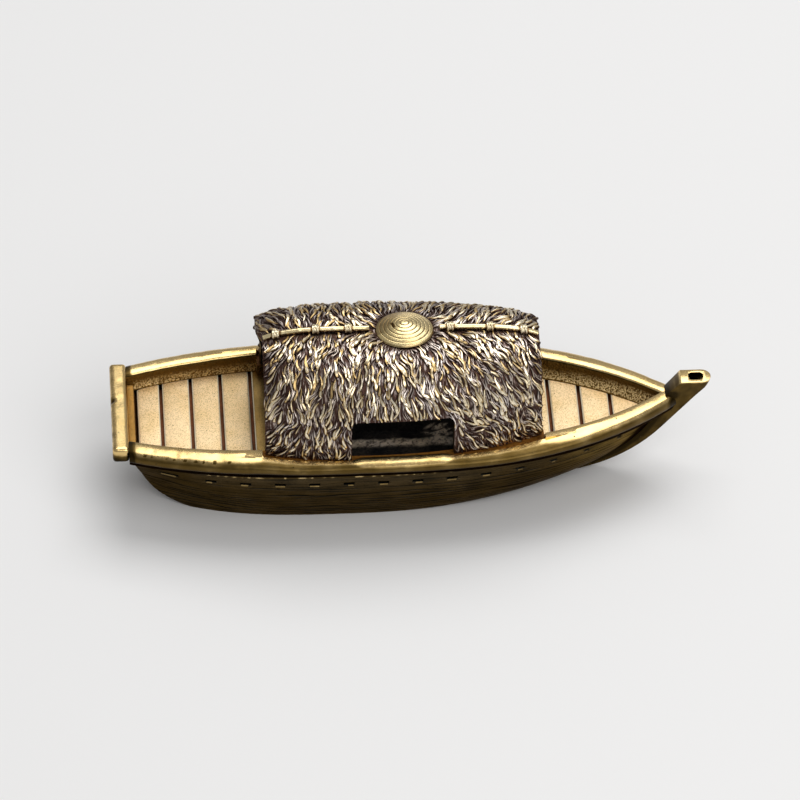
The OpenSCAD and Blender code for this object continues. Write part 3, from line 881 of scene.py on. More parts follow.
class INCENSEBOAT_OT_hull(bpy.types.Operator):
    """Lower hull with wood grain cut into its sides"""

    bl_idname = "incense_boat.hull"
    bl_label = "Hull"

    def execute(self, context):
        mesh = new_mesh("hull", loft(self.sides() + self.well()))
        piece(mesh, [hull_brass(), well_brass()], BOAT, "hull_brass", "hull_shell")
        return {"FINISHED"}

    def sides(self):
        """Rings up the outer sides, with the grain cut in."""
        depth = boat_look().grain_depth
        rows = 62
        rings = []
        for i in range(rows + 1):
            z = STRAKE_FOOT * (i / rows) ** 1.25
            edge = smooth_step(0.15, 0.9, z) * smooth_step(0, 0.3, STRAKE_FOOT - z)
            ring = []
            for point in hull_ring(z, 0, stern_face(z), bow_x(z, STEM_HALF)):
                line = grain(*point) * edge
                ring.append((*carve(point, depth * line), hull_rub(point, line), OUTSIDE))
            rings.append(ring)
        return rings

    def well(self):
        """Rings down the inner walls and over the floor of the well."""
        wall_rows, floor_rows, floor_step = 8, 21, 0.3
        rings = []
        for i in range(wall_rows + 1):
            z = WELL_FLOOR + (STRAKE_FOOT - WELL_FLOOR) * (1 - i / wall_rows) ** 1.5
            inner = hull_ring(z, WALL, stern_face(z) + WALL, bow_x(z, WALL + 1))
            rings.append([(*point, ash_and_highlights(point, False), INSIDE) for point in inner])
        for i in range(1, floor_rows + 1):
            inset = WALL + floor_step * i
            inner = hull_ring(WELL_FLOOR, inset, stern_face(WELL_FLOOR) + inset, bow_x(WELL_FLOOR, inset + 1))
            ring = []
            for x, y, z in inner:
                rub = ash_and_highlights((x, y, z), True)
                ring.append((x, y, z + CRUST_HEIGHT * max(rub, 0), rub, INSIDE))
            rings.append(ring)
        return rings


def dent_places():
    """Middles and lengths of the dents along a strake."""
    z = STRAKE_FOOT + (RAIL_FOOT - STRAKE_FOOT) * 0.45
    first = stern_face(z) + 2.2 * DENT_PITCH
    count = int((bow_x(z, 4.5) - first) / DENT_PITCH)
    places = [(first - 1.2 * DENT_PITCH, 1.7 * DENT_LENGTH)]
    return z, places + [(first + i * DENT_PITCH, DENT_LENGTH * dent_share(first + i * DENT_PITCH))
                        for i in range(count + 1)]


def dent_share(x):
    """Size of a dent as a share of the stern ones: they grow faint towards the bow."""
    return 1 - 0.6 * smooth_step(5, 35, x)


def strake_x(z, s):
    """Place along a strake at height z, with s from 0 at the stern to 1 at the stem."""
    return stern_face(z) + (bow_x(z, STEM_HALF) - stern_face(z)) * s


def strake_bm(side):
    """One side strake as a loft along the boat. side is 1 for port and -1 for starboard."""
    depth = boat_look().grain_depth
    dent_z, dents = dent_places()
    soft = 0.07
    marks = []
    for x, long in dents:
        half = long / 2
        marks += [x - half - soft, x - half + soft, x, x + half - soft, x + half + soft]
    columns, rows = 130, 30
    x0, x1 = stern_face(dent_z), bow_x(dent_z, STEM_HALF)
    steps = sorted([(x - x0) / (x1 - x0) for x in marks] + [i / columns for i in range(columns + 1)])
    steps = [s for i, s in enumerate(steps) if 0 <= s <= 1 and (i == 0 or s - steps[i - 1] > 2e-4)]
    half_h = DENT_HEIGHT / 2
    lip_top = -half_h - 0.08
    lip_foot = lip_top - 0.24
    profile = [lip_foot, lip_top, -half_h + 0.08, half_h - soft, half_h + soft]
    levels = [STRAKE_FOOT + (RAIL_FOOT - STRAKE_FOOT) * i / rows for i in range(rows + 1)]
    levels = sorted(levels + [dent_z + up for up in profile])
    inner = ((RAIL_FOOT, STRAKE_WALL), (BED_FOOT, STRAKE_WALL), (BED_FOOT, WALL), (STRAKE_FOOT, WALL))
    rings = []
    for s in steps:
        ring = []
        for z in levels:
            x = strake_x(z, s)
            along = max(smooth_step(long / 2 + soft, long / 2 - soft, abs(x - mid)) for mid, long in dents)
            pit = along * dent_share(x) * float(np.interp(z - dent_z, profile, [0, 0.25, 1, 1, 0]))
            y = hull_half(x, z)
            band = smooth_step(STRAKE_FOOT + 0.1, STRAKE_FOOT + 0.5, z) * smooth_step(0, 0.4, RAIL_FOOT - z)
            line = grain(x, side * y, z) * band * (0.25 if z > dent_z - 0.8 else 1.0)
            lip = along > 0.9 and lip_foot - 0.01 < z - dent_z < lip_top + 0.01
            wear_and_painted_light = hull_rub((x, side * y, z), line) * (1 - pit) - 0.9 * pit
            metal = GRAINED
            # Painted highlights: a dotted band under the rail and the lower lips of the dents.
            if abs(RAIL_FOOT - 0.6 - z) < 0.2:
                wear_and_painted_light = 0.9 * smooth_step(-0.05, 0.35, ripple(x, side * y, 3, 0.5)) - 0.25
                metal = HIGHLIGHTED
            elif lip:
                wear_and_painted_light = 0.3 * dent_share(x)
                metal = HIGHLIGHTED
            ring.append((x, side * max(y - (DENT_DEPTH * pit + depth * line), 0.1), z, wear_and_painted_light, metal))
        for z, off in inner:
            x = strake_x(z, s)
            ring.append((x, side * max(hull_half(x, z) - off, 0.1), z, 0.0, GRAINED))
        rings.append(ring)
    return loft(rings)


class INCENSEBOAT_OT_strakes(bpy.types.Operator):
    """Side strakes with their row of dents, and the transom"""

    bl_idname = "incense_boat.strakes"
    bl_label = "Strakes and transom"

    def execute(self, context):
        metals = [hull_brass(), rail_brass()]
        for side, name in SIDES:
            mesh = new_mesh("strake_" + name, strake_bm(side))
            piece(mesh, metals, BOAT, "hull_brass", name + "_strake")
        self.transom()
        return {"FINISHED"}

    def transom(self):
        """Stern board with the hull's grain outside and brown metal inside."""
        bm = solid_copy("transom_board")
        round_edges(bm, TRANSOM_ROUND)
        rows = 40
        levels = [STRAKE_FOOT + (RAIL_FOOT - STRAKE_FOOT) * i / rows for i in range(1, rows)]
        slice_mesh(bm, (0, 0, 1), levels)
        slice_mesh(bm, (0, 1, 0), range(-8, 9))
        layer = bm.verts.layers.float.new("rub")
        bm.normal_update()
        for face in bm.faces:
            face.material_index = OUTSIDE if face.normal.x < -0.3 else INSIDE
        for vert in bm.verts:
            line = grain(*(vert.co / MM))
            vert[layer] = hull_rub(vert.co / MM, line)
        metals = [hull_brass(), board_brass()]
        piece(new_mesh("transom", bm), metals, BOAT, "hull_brass", "transom_board")


def outer_face(run, top, low, high, last=90):
    """Points up a rail's outer face and round its edge: distance in, share of the height, rub and metal.

    A groove runs along the face's foot, near-black as painted shade under the rail's lip. The edge turns in
    to the last angle and is bright from the low angle to the high one, all in degrees: rubbed on top, and
    with each side's range set as painted highlight and shade.
    """
    # The first four rows are the groove, near-black as painted shade under the rail's lip.
    points = [
        (RAIL_OVERHANG, 0.0, -1.0, GROOVE_SHADE), (0.6, 0.03, -1.0, GROOVE_SHADE), (0.34, 0.2, -1.0, GROOVE_SHADE),
        (0.22, 0.32, -1.0, GROOVE_SHADE), (0.03, 0.38, -0.2, PLAIN), (-0.02, 0.46, 0.08, PLAIN),
    ]
    turned, risen = 1 - math.cos(math.radians(last)), math.sin(math.radians(last))
    for step in range(10):
        degrees = last * step / 9
        off = run * (1 - math.cos(math.radians(degrees))) / turned
        up = 0.58 + (top - 0.58) * math.sin(math.radians(degrees)) / risen
        points.append((off, up, 0.08 + 1.02 * smooth_step(low, high, degrees), PLAIN))
    return points


def rail_section(side, near, width, sheer, foot, shade, crest):
    """Rail section: distance in from the outer face, height, rub and metal of each point.

    near goes from 0 at a rail's end to 1 beside the canopy, where the rail is wider and higher and its edge
    runs on into the crest of the given width. shade is painted shade, taken from the wall's rub.
    """
    w = width + RAIL_SWELL * near
    h = RAIL_TOP - RAIL_FOOT + sheer * near ** 2
    skirt = foot - w
    top = [
        (w * 0.55, 1.0, 1.1), (w * 0.68, 0.998, 1.1), (w * 0.79, 0.985, 1.1), (w * 0.87, 0.96, 1.0),
        (w * 0.92, 0.92, 0.8),
    ]
    # Painted shade on the inner wall: near-black in the crease under the rail and at the foot, dark at the
    # top.
    wall = [
        (w * 0.96, 0.85, -0.8), (w, 0.72, -0.9), (w + skirt * 0.06, 0.56, -0.45 - shade),
        (w + skirt * 0.36, 0.33, -0.1 - shade), (w + skirt * 0.7, 0.14, 0.05 - shade),
        (w + skirt * 0.86, 0.06, 0.15 - shade), (w + skirt * 0.93, 0.03, -0.9), (foot, 0.0, -0.9),
    ]
    join = near ** 3
    # Painted light: the port rail is bright over a wide range of angles, the starboard outer face darker as
    # painted shade.
    low, high = (5, 40) if side > 0 else (15 + 25 * join, 80 - 20 * join)
    run = w * 0.42 * (1 - join) + crest * 0.94 * join
    edge = outer_face(run, 0.99 * (1 - join) + FOOT_CREST * join, low, high, 90 - 28 * join)
    rows = edge + [(*point, PLAIN) for point in top]
    rows += [(*point, PEBBLED) for point in wall]
    return [(off, RAIL_FOOT + h * up, wear_and_painted_light, metal) for off, up, wear_and_painted_light, metal in rows]


def beside_window(x):
    """1 beside the canopy's windows and 0 beside its feet."""
    return smooth_step(WINDOW_HALF + 0.5, WINDOW_HALF - 2, abs(x - WINDOW_MID))


def crest_width(x):
    """Width of the crest outside the canopy: it fills part of the room beside the feet and the windows."""
    room = rail_half(x) - canopy_half(x) - CREST - CANOPY_CLEAR
    return CREST + 0.05 + 0.4 * room + 0.5 * beside_window(x)


def rebate_section(side, x):
    """Rail section where the canopy stands: a crest outside and a ledge under the feet."""
    aft = STERN_SHEER * smooth_step(STERN_END + 7, STERN_END - 1, x)
    fore = BOW_SHEER * smooth_step(BOW_END - 7, BOW_END + 1, x)
    h = RAIL_TOP - RAIL_FOOT + aft + fore
    ledge = rail_half(x) - canopy_half(x) + CANOPY_WALL + CANOPY_CLEAR
    w = crest_width(x)
    window = beside_window(x)
    # Painted light: the port crest is bright over a wide range of angles, the starboard outer face darker as
    # painted shade.
    low, high = (5, 40) if side > 0 else (40 - 28 * window, 60 - 28 * window)
    top = FOOT_CREST + (1 - FOOT_CREST) * window
    crest = outer_face(w * 0.94, top, low, high, 62 - 14 * window) + [
        (w * 0.96, top, 1.1, PLAIN), (w * 0.977, top - 0.02, 1.0, PLAIN), (w * 0.99, top - 0.05, 0.6, PLAIN),
        (w * 0.998, top - 0.1, 0.2, PLAIN),
    ]
    # Painted shade in the corners where the canopy's ends meet the ledge, deeper on port.
    end = min(x - STERN_END + END_CLEAR, BOW_END + END_CLEAR - x)
    dark = (1.0 if side > 0 else 0.2) * smooth_step(2.5, 0.6, end)
    rows = [(off, RAIL_FOOT + h * up, wear_and_painted_light, metal) for off, up, wear_and_painted_light, metal in crest]
    rows += [(w, LEDGE + 0.12, 0.3 - dark, BROWN), (w + 0.08, LEDGE, 0.4 - dark, BROWN)]
    rows += [(w + (ledge - w) * t, LEDGE, 0.4 + 0.3 * t - dark, BROWN) for t in (0.35, 0.65)]
    rows += [(ledge - 0.1, LEDGE, 0.8 - dark, BROWN), (ledge, LEDGE - 0.1, 0.6 - dark, BROWN)]
    rows += [(ledge, RAIL_FOOT + (LEDGE - 0.5 - RAIL_FOOT) * t, -0.6, PEBBLED) for t in (1, 0.5, 0)]
    return rows


def rail_stations(side):
    """Places along the boat with the rail section at each."""
    rebate0, rebate1 = STERN_END - END_CLEAR, BOW_END + END_CLEAR
    stern_steps, middle_steps, bow_steps = 90, 90, 70
    stern_run = rebate0 - SHOULDER - STERN_X
    stern_width = RAIL_WIDTH + (0 if side > 0 else STARBOARD_EXTRA)
    end = rail_bow_x(0.9)
    bow_length = end - rebate1 - SHOULDER
    stations = []
    for i in range(stern_steps + 1):
        near = i / stern_steps
        section = rail_section(side, near, stern_width, STERN_SHEER, STERN_FOOT, 0.1, crest_width(rebate0))
        stations.append((STERN_X + stern_run * near, section))
    for i in range(middle_steps + 1):
        x = rebate0 + (rebate1 - rebate0) * i / middle_steps
        stations.append((x, rebate_section(side, x)))
    for i in range(bow_steps + 1):
        near = 1 - i / bow_steps
        # Painted shade on the wall: strongest beside the canopy, paler towards the bow.
        shade = 0.7 * near - 0.4
        width = RAIL_WIDTH + BOW_EXTRA
        section = rail_section(side, near, width, BOW_SHEER, BOW_FOOT, shade, crest_width(rebate1))
        stations.append((end - bow_length * near, section))
    return stations


def rail_bm(side):
    """One rail as a loft along the boat, cut off at the boat's middle plane.

    The starboard rail is more uneven and pitted towards the stern, and duller there as painted shade that
    tones down its highlight.
    """
    wobble = boat_look().wobble
    bow_end = rail_bow_x(STEM_HALF)
    rings = []
    for x, section in rail_stations(side):
        dull, uneven, pitted = 0, 1, 0
        if side < 0:
            # Painted shade on the starboard rail towards the stern, which tones down its highlight.
            dull = 0.34 * smooth_step(STERN_END - 1, STERN_END - 5, x)
            uneven = 1 + 0.4 * smooth_step(STERN_END - 2, STERN_END - 5, x)
            pitted = smooth_step(0.05, 0.3, ripple(x, 0, 0, 0.6)) if x < STERN_END - 3 else 0
        # Darker at the rail's ends: a stain at the stern, and painted shade in the crease against the stem.
        stain_and_crease_shade = smooth_step(1.3, 0.3, x - STERN_X) + smooth_step(1.6, 0.4, bow_end - x)
        ring = []
        for off, z, rub, metal in section:
            y = rail_half(x) - off
            free = smooth_step(RAIL_FOOT, RAIL_FOOT + 0.8, z) * (0 if abs(z - LEDGE) < 0.01 else 1)
            push = wobble * (ripple(x, side * y, z, 2.6) + 0.6 * ripple(x + 30, side * y, z, 1.2)) * free
            push *= uneven
            edge = smooth_step(0.4, 0.55, rub) * smooth_step(0.9, 0.75, rub)
            wear_and_painted_light = rub * (1 - dull) - 1.5 * stain_and_crease_shade - edge * pitted + 0.12 * ripple(x, side * y, z, 3)
            ring.append((x, side * (y - push), z - max(push, 0) * 0.7, wear_and_painted_light, metal))
        rings.append(ring)
    bm = loft(rings)
    geometry = bm.verts[:] + bm.edges[:] + bm.faces[:]
    bmesh.ops.bisect_plane(bm, geom=geometry, plane_co=(0, 0, 0), plane_no=(0, -side, 0), clear_outer=True)
    fill_holes(bm)
    return bm


class INCENSEBOAT_OT_rails(bpy.types.Operator):
    """Rounded rails with pebbled inner walls and a brown ledge under the canopy"""

    bl_idname = "incense_boat.rails"
    bl_label = "Rails"

    def execute(self, context):
        # The hull's dark metal comes last: it paints the shade in the groove under each rail.
        metals = [rail_brass(), stipple_brass(), ledge_brass(), hull_brass()]
        for side, name in SIDES:
            mesh = new_mesh("rail_" + name, rail_bm(side))
            piece(mesh, metals, BOAT, "rail_brass", name + "_gunwale")
        return {"FINISHED"}


class INCENSEBOAT_OT_fittings(bpy.types.Operator):
    """Stern beam and stem post"""

    bl_idname = "incense_boat.fittings"
    bl_label = "Stern beam and stem post"

    def execute(self, context):
        self.beam()
        self.stem()
        return {"FINISHED"}

    def beam(self):
        """Stern beam with uneven faces, rounded edges and a nick in its aft edge, rubbed on top, with a
        painted highlight along its top's edges and painted shade on its end faces and aft side.
        """
        wobble = boat_look().wobble
        low, high = node_low("stern_beam"), node_high("stern_beam")
        centre, size = (low + high) / 2, high - low
        bm = bmesh.new()
        shape = Matrix.LocRotScale(Vector(centre * MM), None, Vector(size * MM))
        bmesh.ops.create_cube(bm, size=1, matrix=shape)
        round_edges(bm, BEAM_ROUND, 4)
        across = [e for e in bm.edges if abs(e.verts[0].co.y - e.verts[1].co.y) > 0.5 * size[1] * MM]
        bmesh.ops.subdivide_edges(bm, edges=across, cuts=70, use_grid_fill=True)
        flat = [e for e in bm.edges if e.calc_length() > 0.9 * MM]
        bmesh.ops.subdivide_edges(bm, edges=flat, cuts=4, use_grid_fill=True)
        nick = Vector((low[0], centre[1] + NICK_Y, high[2]))
        layer = bm.verts.layers.float.new("rub")
        for vert in bm.verts:
            p = vert.co / MM
            # Painted light: a highlight along the top's edges; the end faces and the aft side are darkened as
            # painted shade.
            top = smooth_step(low[2] + 0.6, high[2] - 0.6, p.z)
            rim = smooth_step(0.75, 0.15, min(high[0] - p.x, size[1] / 2 - abs(p.y)))
            vert[layer] = 0.3 + 0.75 * top + 0.4 * rim * top + 0.2 * ripple(*p, 1.6) + 0.2 * ripple(*p, 0.6)
            vert[layer] -= 0.9 * smooth_step(size[1] / 2 - 0.5, size[1] / 2 - 0.1, abs(p.y)) * (1 - 0.8 * top)
            vert[layer] -= 0.45 * smooth_step(centre[0] + 0.3, low[0] + 0.1, p.x)
            inward = Vector((p.x - centre[0], 0, p.z - centre[2])).normalized()
            push = max(wobble * (0.5 * ripple(*p, 2.4) + ripple(p.x + 9, p.y, p.z, 6)), 0)
            cut = smooth_step(0.9, 0.2, (p - nick).length)
            vert[layer] -= 1.2 * cut
            vert.co -= inward * (push + NICK_DEPTH * cut) * MM
        piece(new_mesh("beam", bm), [rail_brass()], BOAT, "rail_brass", "stern_beam")

    def stem(self):
        """Stem post, dark on its sides and rubbed along its edges and on its head, with painted shade in the
        crease against the hull and on the head's aft faces.
        """
        bm = solid_copy("stem_post")
        round_edges(bm, STEM_ROUND, 3, 35)
        levels, backs = 37, 59
        slice_mesh(bm, (0, 0, 1), [STEM_CUT * i for i in range(1, levels + 1)])
        slice_mesh(bm, (1, 0, 0), [TIP_X - STEM_CUT * i for i in range(1, backs + 1)])
        bm.normal_update()
        layer = bm.verts.layers.float.new("rub")
        for vert in bm.verts:
            p = vert.co / MM
            top = smooth_step(HEAD_TOP - 0.35, HEAD_TOP - 0.05, p.z)
            edge = smooth_step(0.97, 0.6, abs(vert.normal.y)) * smooth_step(3, 12, p.z)
            bore = p.x - TIP_X + MOUTH_BACK + (HEAD_TOP - p.z) / math.tan(STEM_LEAN)
            inside = abs(bore) < 1.35 and abs(p.y) < 1.0 and p.z < HEAD_TOP - 0.12
            beside = p.x - bow_x(min(p.z, RAIL_TOP), STEM_HALF)
            # Painted shade: near-black in the crease against the hull, and darker on the head's aft faces.
            crease = smooth_step(1.6, 0.4, beside) * smooth_step(RAIL_TOP + 1.6, RAIL_TOP + 0.4, p.z)
            wear_and_painted_light = 0.5 * edge + 1.15 * top - 0.22 + 0.3 * ripple(*p, 1.8) + 0.25 * ripple(*p, 0.7)
            aft = smooth_step(-0.4, -0.8, vert.normal.x) * smooth_step(HEAD_TOP - 0.3, HEAD_TOP - 0.9, p.z)
            vert[layer] = -1.0 if inside else wear_and_painted_light - 0.9 * crease - 0.35 * aft
        piece(new_mesh("stem", bm), [rail_brass()], BOAT, "rail_brass", "stem_post")


class INCENSEBOAT_OT_decks(bpy.types.Operator):
    """Deck planks with softened edges, and the sooty plates and walls below them"""

    bl_idname = "incense_boat.decks"
    bl_label = "Decks"

    def execute(self, context):
        planks = [f"stern_plank_{i}" for i in range(1, 6)] + [f"bow_plank_{i}" for i in range(1, 5)]
        for node in planks:
            bm = solid_copy(node)
            round_edges(bm, PLANK_ROUND, 4)
            bm.normal_update()
            # Steep flanks of a plank take the gap floor's dark metal as painted shade in the gaps.
            for face in bm.faces:
                sloped = PLANK_EDGE if face.normal.z > 0.5 else PLANK_FLANK
                face.material_index = PLANK_TOP if face.normal.z > 0.97 else sloped
            # The plank beside the canopy is darker as painted shade and painted reflection from the canopy.
            top = shaded_plank_brass() if node == "stern_plank_5" else plank_brass()
            metals = [top, plank_highlight_brass(), bed_brass()]
            mesh = new_mesh(node.replace("_plank_", "_board_"), bm)
            piece(mesh, metals, BOAT, "plank_brass", node)
        for node in ("stern_deck_bed", "bow_deck_bed", "stern_bulkhead", "bow_bulkhead"):
            obj = frame["nodes"][node]
            obj.data.materials.clear()
            obj.data.materials.append(bed_brass() if node.endswith("bed") else well_brass())
        return {"FINISHED"}


def port_reach(angle):
    """How far the port slope reaches aft of the canopy's stern end."""
    degrees = math.degrees(angle)
    return PORT_REACH * min(max(min((degrees - 12) / 14, (89.5 - degrees) / 3), 0), 1)


class INCENSEBOAT_OT_canopy(bpy.types.Operator):
    """Arched shell of the canopy with its windows"""

    bl_idname = "incense_boat.canopy"
    bl_label = "Canopy shell"

    def execute(self, context):
        window0, window1 = WINDOW_MID - WINDOW_HALF, WINDOW_MID + WINDOW_HALF
        aft_steps, window_steps, fore_steps = 22, 26, 23
        xs = ([STERN_END + (window0 - STERN_END) * i / aft_steps for i in range(aft_steps)]
              + [window0 + (window1 - window0) * i / window_steps for i in range(window_steps)]
              + [window1 + (BOW_END - window1) * i / fore_steps for i in range(fore_steps + 1)])
        sill_steps, roof_steps = 10, 48
        sill = math.asin(((WINDOW_TOP - LEDGE) / (CANOPY_RISE - THATCH_DEPTH)) ** (ARCH_POWER / 2))
        angles = ([sill * i / sill_steps for i in range(sill_steps)]
                  + [sill + (math.pi - 2 * sill) * i / roof_steps for i in range(roof_steps)]
                  + [math.pi - sill + sill * i / sill_steps for i in range(sill_steps + 1)])
        rings = []
        for x in xs:
            ring = []
            for angle in angles:
                back = port_reach(angle) if x == STERN_END else 0
                y, z = arch(x, angle, THATCH_DEPTH)
                across, upward = arch_normal(x, y, z)
                up = port_rise(x, y, z)
                ring.append((x - back, y + across * up, z + upward * up, 0.0, THATCHED))
            rings.append(ring)
        bm = loft(rings, ring_closed=False, caps=False)
        opening = [
            f for f in bm.faces
            if abs(f.calc_center_median().x / MM - WINDOW_MID) < WINDOW_HALF
            and f.calc_center_median().z / MM < WINDOW_TOP + 0.05
        ]
        bmesh.ops.delete(bm, geom=opening, context="FACES")
        outward = [f for f in bm.faces if f.normal.z > 0 and abs(f.calc_center_median().y) < 0.002]
        if not outward:
            bmesh.ops.reverse_faces(bm, faces=bm.faces)
        bmesh.ops.solidify(bm, geom=bm.faces[:], thickness=(CANOPY_WALL - THATCH_DEPTH) * MM)
        bmesh.ops.recalc_face_normals(bm, faces=bm.faces)
        for face in bm.faces:
            x, y, z = face.calc_center_median() / MM
            # Inner faces take the well's dark metal: soot, and painted shade under the canopy.
            face.material_index = SOOT_AND_SHADE if arch_height(x, y, z) < -0.6 * CANOPY_WALL else THATCHED
            if abs(face.normal.x) > 0.6:
                face.material_index = BARE_END
        metals = [ground_brass(), well_brass(), rail_brass()]
        piece(new_mesh("canopy", bm), metals, CANOPY, "thatch_brass", "canopy_shell")
        return {"FINISHED"}


def slope_table(x):
    """Arc lengths down one slope of the arch at x, and the angles that belong to them."""
    angles = np.linspace(math.pi / 2, 0, 90)
    points = np.array([arch(x, a, 0) for a in angles])
    steps = np.hypot(*np.diff(points, axis=0).T)
    return np.concatenate([[0], np.cumsum(steps)]), angles


def flow(x, s, length):
    """Lean of the strands along the boat, per unit down the slope: they spread out from the hat."""
    dx = x - HAT_X
    lean = 0.64 * smooth_step(-6, 12, dx)
    lean -= 1.0 * smooth_step(STERN_END + 7, STERN_END + 1, x) * (1 - 0.25 * s / length)
    near = math.exp(-max(math.hypot(dx, s) - HAT_R, 0) / 2.2)
    radial = max(min(dx / max(s, 0.6), 2.5), -2.5)
    return lean * (1 - near) + radial * near


def on_slope(x, s, side, table, up):
    """Point at a distance s down the slope and up above it, or None beyond the canopy's edges."""
    lengths, angles = table
    if not 0.15 < s <= lengths[-1] - 0.05:
        return None
    angle = float(np.interp(s, lengths, angles))
    y, z = arch(x, angle, 0)
    reach = port_reach(angle) if side > 0 else 0
    if not STERN_END - reach - 0.05 < x < BOW_END + 0.05:
        return None
    corner = max(abs(x - WINDOW_MID) - WINDOW_HALF + WINDOW_CORNER, 0)
    if corner < WINDOW_CORNER and z < WINDOW_TOP + 0.22 - WINDOW_CORNER * (corner / WINDOW_CORNER) ** 2:
        return None
    across, upward = arch_normal(x, y, z)
    free = smooth_step(LEDGE + 0.2, LEDGE + 1.2, z)
    up = up * free - 0.15 * (1 - free) + port_rise(x, side, z)
    return x, side * (y + across * up), z + upward * up


def sway(x, s, side):
    """Turn of the strands that neighbours share, in radians."""
    return 0.7 * ripple(x, s, 7 * side, 3.4) + 0.75 * ripple(x + 50, s, 7 * side, 1.6)


def strand(random, x, s, side, table, lean, long, radius, lift, points, tip):
    """One strand that follows the flow from its root at (x, s), as points with radii; None if too short.

    tip is the share of the radius that is left at the strand's end.
    """
    wave = random.uniform(0.1, 0.35)
    turns = random.uniform(0.7, 1.1)
    phase = random.uniform(0, 2 * math.pi)
    step = long / (points - 1)
    path = []
    for k in range(points):
        t = k / (points - 1)
        up = lift - 0.24 + 0.26 * t ** 0.8 - 0.16 * smooth_step(0.8, 1.0, t)
        point = on_slope(x, s, side, table, up)
        if not point:
            break
        swell = (0.42 + 0.58 * smooth_step(0, 0.75, t)) * (1 - (1 - tip) * smooth_step(0.8, 1.0, t))
        path.append((*point, radius * swell))
        turn = math.atan(flow(x, s, table[0][-1])) + lean + sway(x, s, side)
        turn += wave * math.sin(2 * math.pi * turns * t + phase)
        x += math.sin(turn) * step
        s += math.cos(turn) * step
    return path if len(path) > 2 else None


def tier_length(x, table):
    """Distance down the slope at which the lower tier of thatch starts beside the windows."""
    height = (TIER_Z - LEDGE) / (ridge_z(x) - LEDGE)
    angle = math.asin(height ** (ARCH_POWER / 2))
    return float(np.interp(-angle, -table[1], table[0]))


def tiered(random, x, s, table, long, lift, lean):
    """Length, lift and lean of a strand. Beside the windows a fringe hangs over a lower tier."""
    tier = tier_length(x, table) + random.uniform(-0.3, 0.3)
    if abs(x - WINDOW_MID) < WINDOW_HALF or s + long < tier:
        return long, lift, lean
    if s > tier - 0.3 or (s > tier - 1.9 and random.random() < 0.5):
        return long * 0.9, lift - 0.07, lean * 1.6
    return max(tier - s, 0.9), lift + 0.07, lean


def places(random, side, step, row):
    """Scattered places (x, s) over one slope with the arch table of each, clear of the hat."""
    x = STERN_END - (PORT_REACH if side > 0 else 0)
    column = 0
    while x < BOW_END + 0.2:
        table = slope_table(x)
        s = 0.3 + row * (column % 2) / 2
        while s < table[0][-1] - 0.3:
            along = x + random.uniform(-0.35, 0.35) * step
            down = max(s + random.uniform(-0.4, 0.4) * row, 0.25)
            if math.hypot(along - HAT_X, down) > HAT_R * HAT_COVER:
                yield along, down, table
            s += row
        x += step
        column += 1


def fine_strands(random, side):
    """Fine low strands that cover a slope, and a ring of them round the hat."""
    look = thatch_look()
    for x, s, table in places(random, side, look.fine_step, look.fine_row):
        long = look.strand_length * random.uniform(0.7, 1.2)
        radius = look.strand_radius * random.uniform(0.5, 0.75)
        lift, lean = random.uniform(-0.10, 0.0), random.gauss(0, 0.12)
        long, lift, lean = tiered(random, x, s, table, long, lift, lean)
        yield strand(random, x, s, side, table, lean, long, radius, lift, FINE_POINTS, FINE_TIP)
    for k in range(HAT_STRANDS):
        angle = math.pi * (k + random.uniform(0.3, 0.7)) / HAT_STRANDS
        x = HAT_X + HAT_R * HAT_ROOTS * math.cos(angle)
        s = max(HAT_R * HAT_ROOTS * math.sin(angle), 0.3)
        long = look.strand_length * random.uniform(0.5, 0.9)
        radius = look.strand_radius * random.uniform(0.45, 0.7)
        yield strand(random, x, s, side, slope_table(x), 0.0, long, radius, -0.05, FINE_POINTS, FINE_TIP)


def locks(random, side):
    """Raised locks with a thick tip."""
    look = thatch_look()
    for x, s, table in places(random, side, look.lock_step, look.lock_row):
        long = look.strand_length * random.uniform(0.7, 1.25)
        radius = look.strand_radius * random.uniform(0.85, 1.6)
        lift, lean = random.uniform(-0.02, 0.06), random.gauss(0, 0.14)
        long, lift, lean = tiered(random, x, s, table, long, lift, lean)
        yield strand(random, x, s, side, table, lean, long, radius, lift, LOCK_POINTS, LOCK_TIP)


def strand_rub(mesh, paths, most, spread, random):
    """Writes the strands' rub: bright along their crests, dark on their flanks and in the gaps, brighter
    towards the bow and dimmer near the ridge as painted light and shade.

    Each strand has its own share of the rub, which differs from the mean by up to spread.
    """
    attribute = mesh.attributes.new("rub", "FLOAT", "POINT")
    rings = [len(path) for path in paths]
    ring = len(mesh.vertices) // sum(rings)
    if ring * sum(rings) != len(mesh.vertices):
        raise RuntimeError("the strands' rings don't add up")
    shares = [1 + random.uniform(-spread, spread) for path in paths]
    shares = np.repeat(shares, [ring * count for count in rings])
    for vert, item, share in zip(mesh.vertices, attribute.data, shares):
        x, y, z = vert.co / MM
        across, upward = arch_normal(x, y, z)
        crest = smooth_step(0.55, 1.0, vert.normal.y * across + vert.normal.z * upward)
        height = arch_height(x, y, z) - port_rise(x, y, z)
        # Painted light and shade: the strands grow brighter towards the bow and dimmer near the ridge.
        upper = smooth_step(6, 2, ridge_z(x) - z)
        wear_and_painted_light = most * (1.12 + 0.12 * (x - CANOPY_MID) / (CANOPY_LENGTH / 2)) * (1 - 0.25 * upper)
        item.value = share * wear_and_painted_light * crest * smooth_step(-0.25, 0.12, height)


class INCENSEBOAT_OT_thatch(bpy.types.Operator):
    """Strands of the thatch, which spread from the ridge and the hat"""

    bl_idname = "incense_boat.thatch"
    bl_label = "Thatch"

    def execute(self, context):
        layers = (
            (fine_strands, "strands", 0.97, 0.3, strand_brass()),
            (locks, "locks", 1.12, 0.4, lock_brass()),
        )
        for side, name in SIDES:
            for make, layer, most, spread, metal in layers:
                random = Random(thatch_look().seed + side)
                paths = [path for path in make(random, side) if path]
                mesh = tube_mesh(f"thatch_{layer}_{name}", paths)
                strand_rub(mesh, paths, most, spread, random)
                piece(mesh, [metal], CANOPY, "thatch_brass")
        return {"FINISHED"}


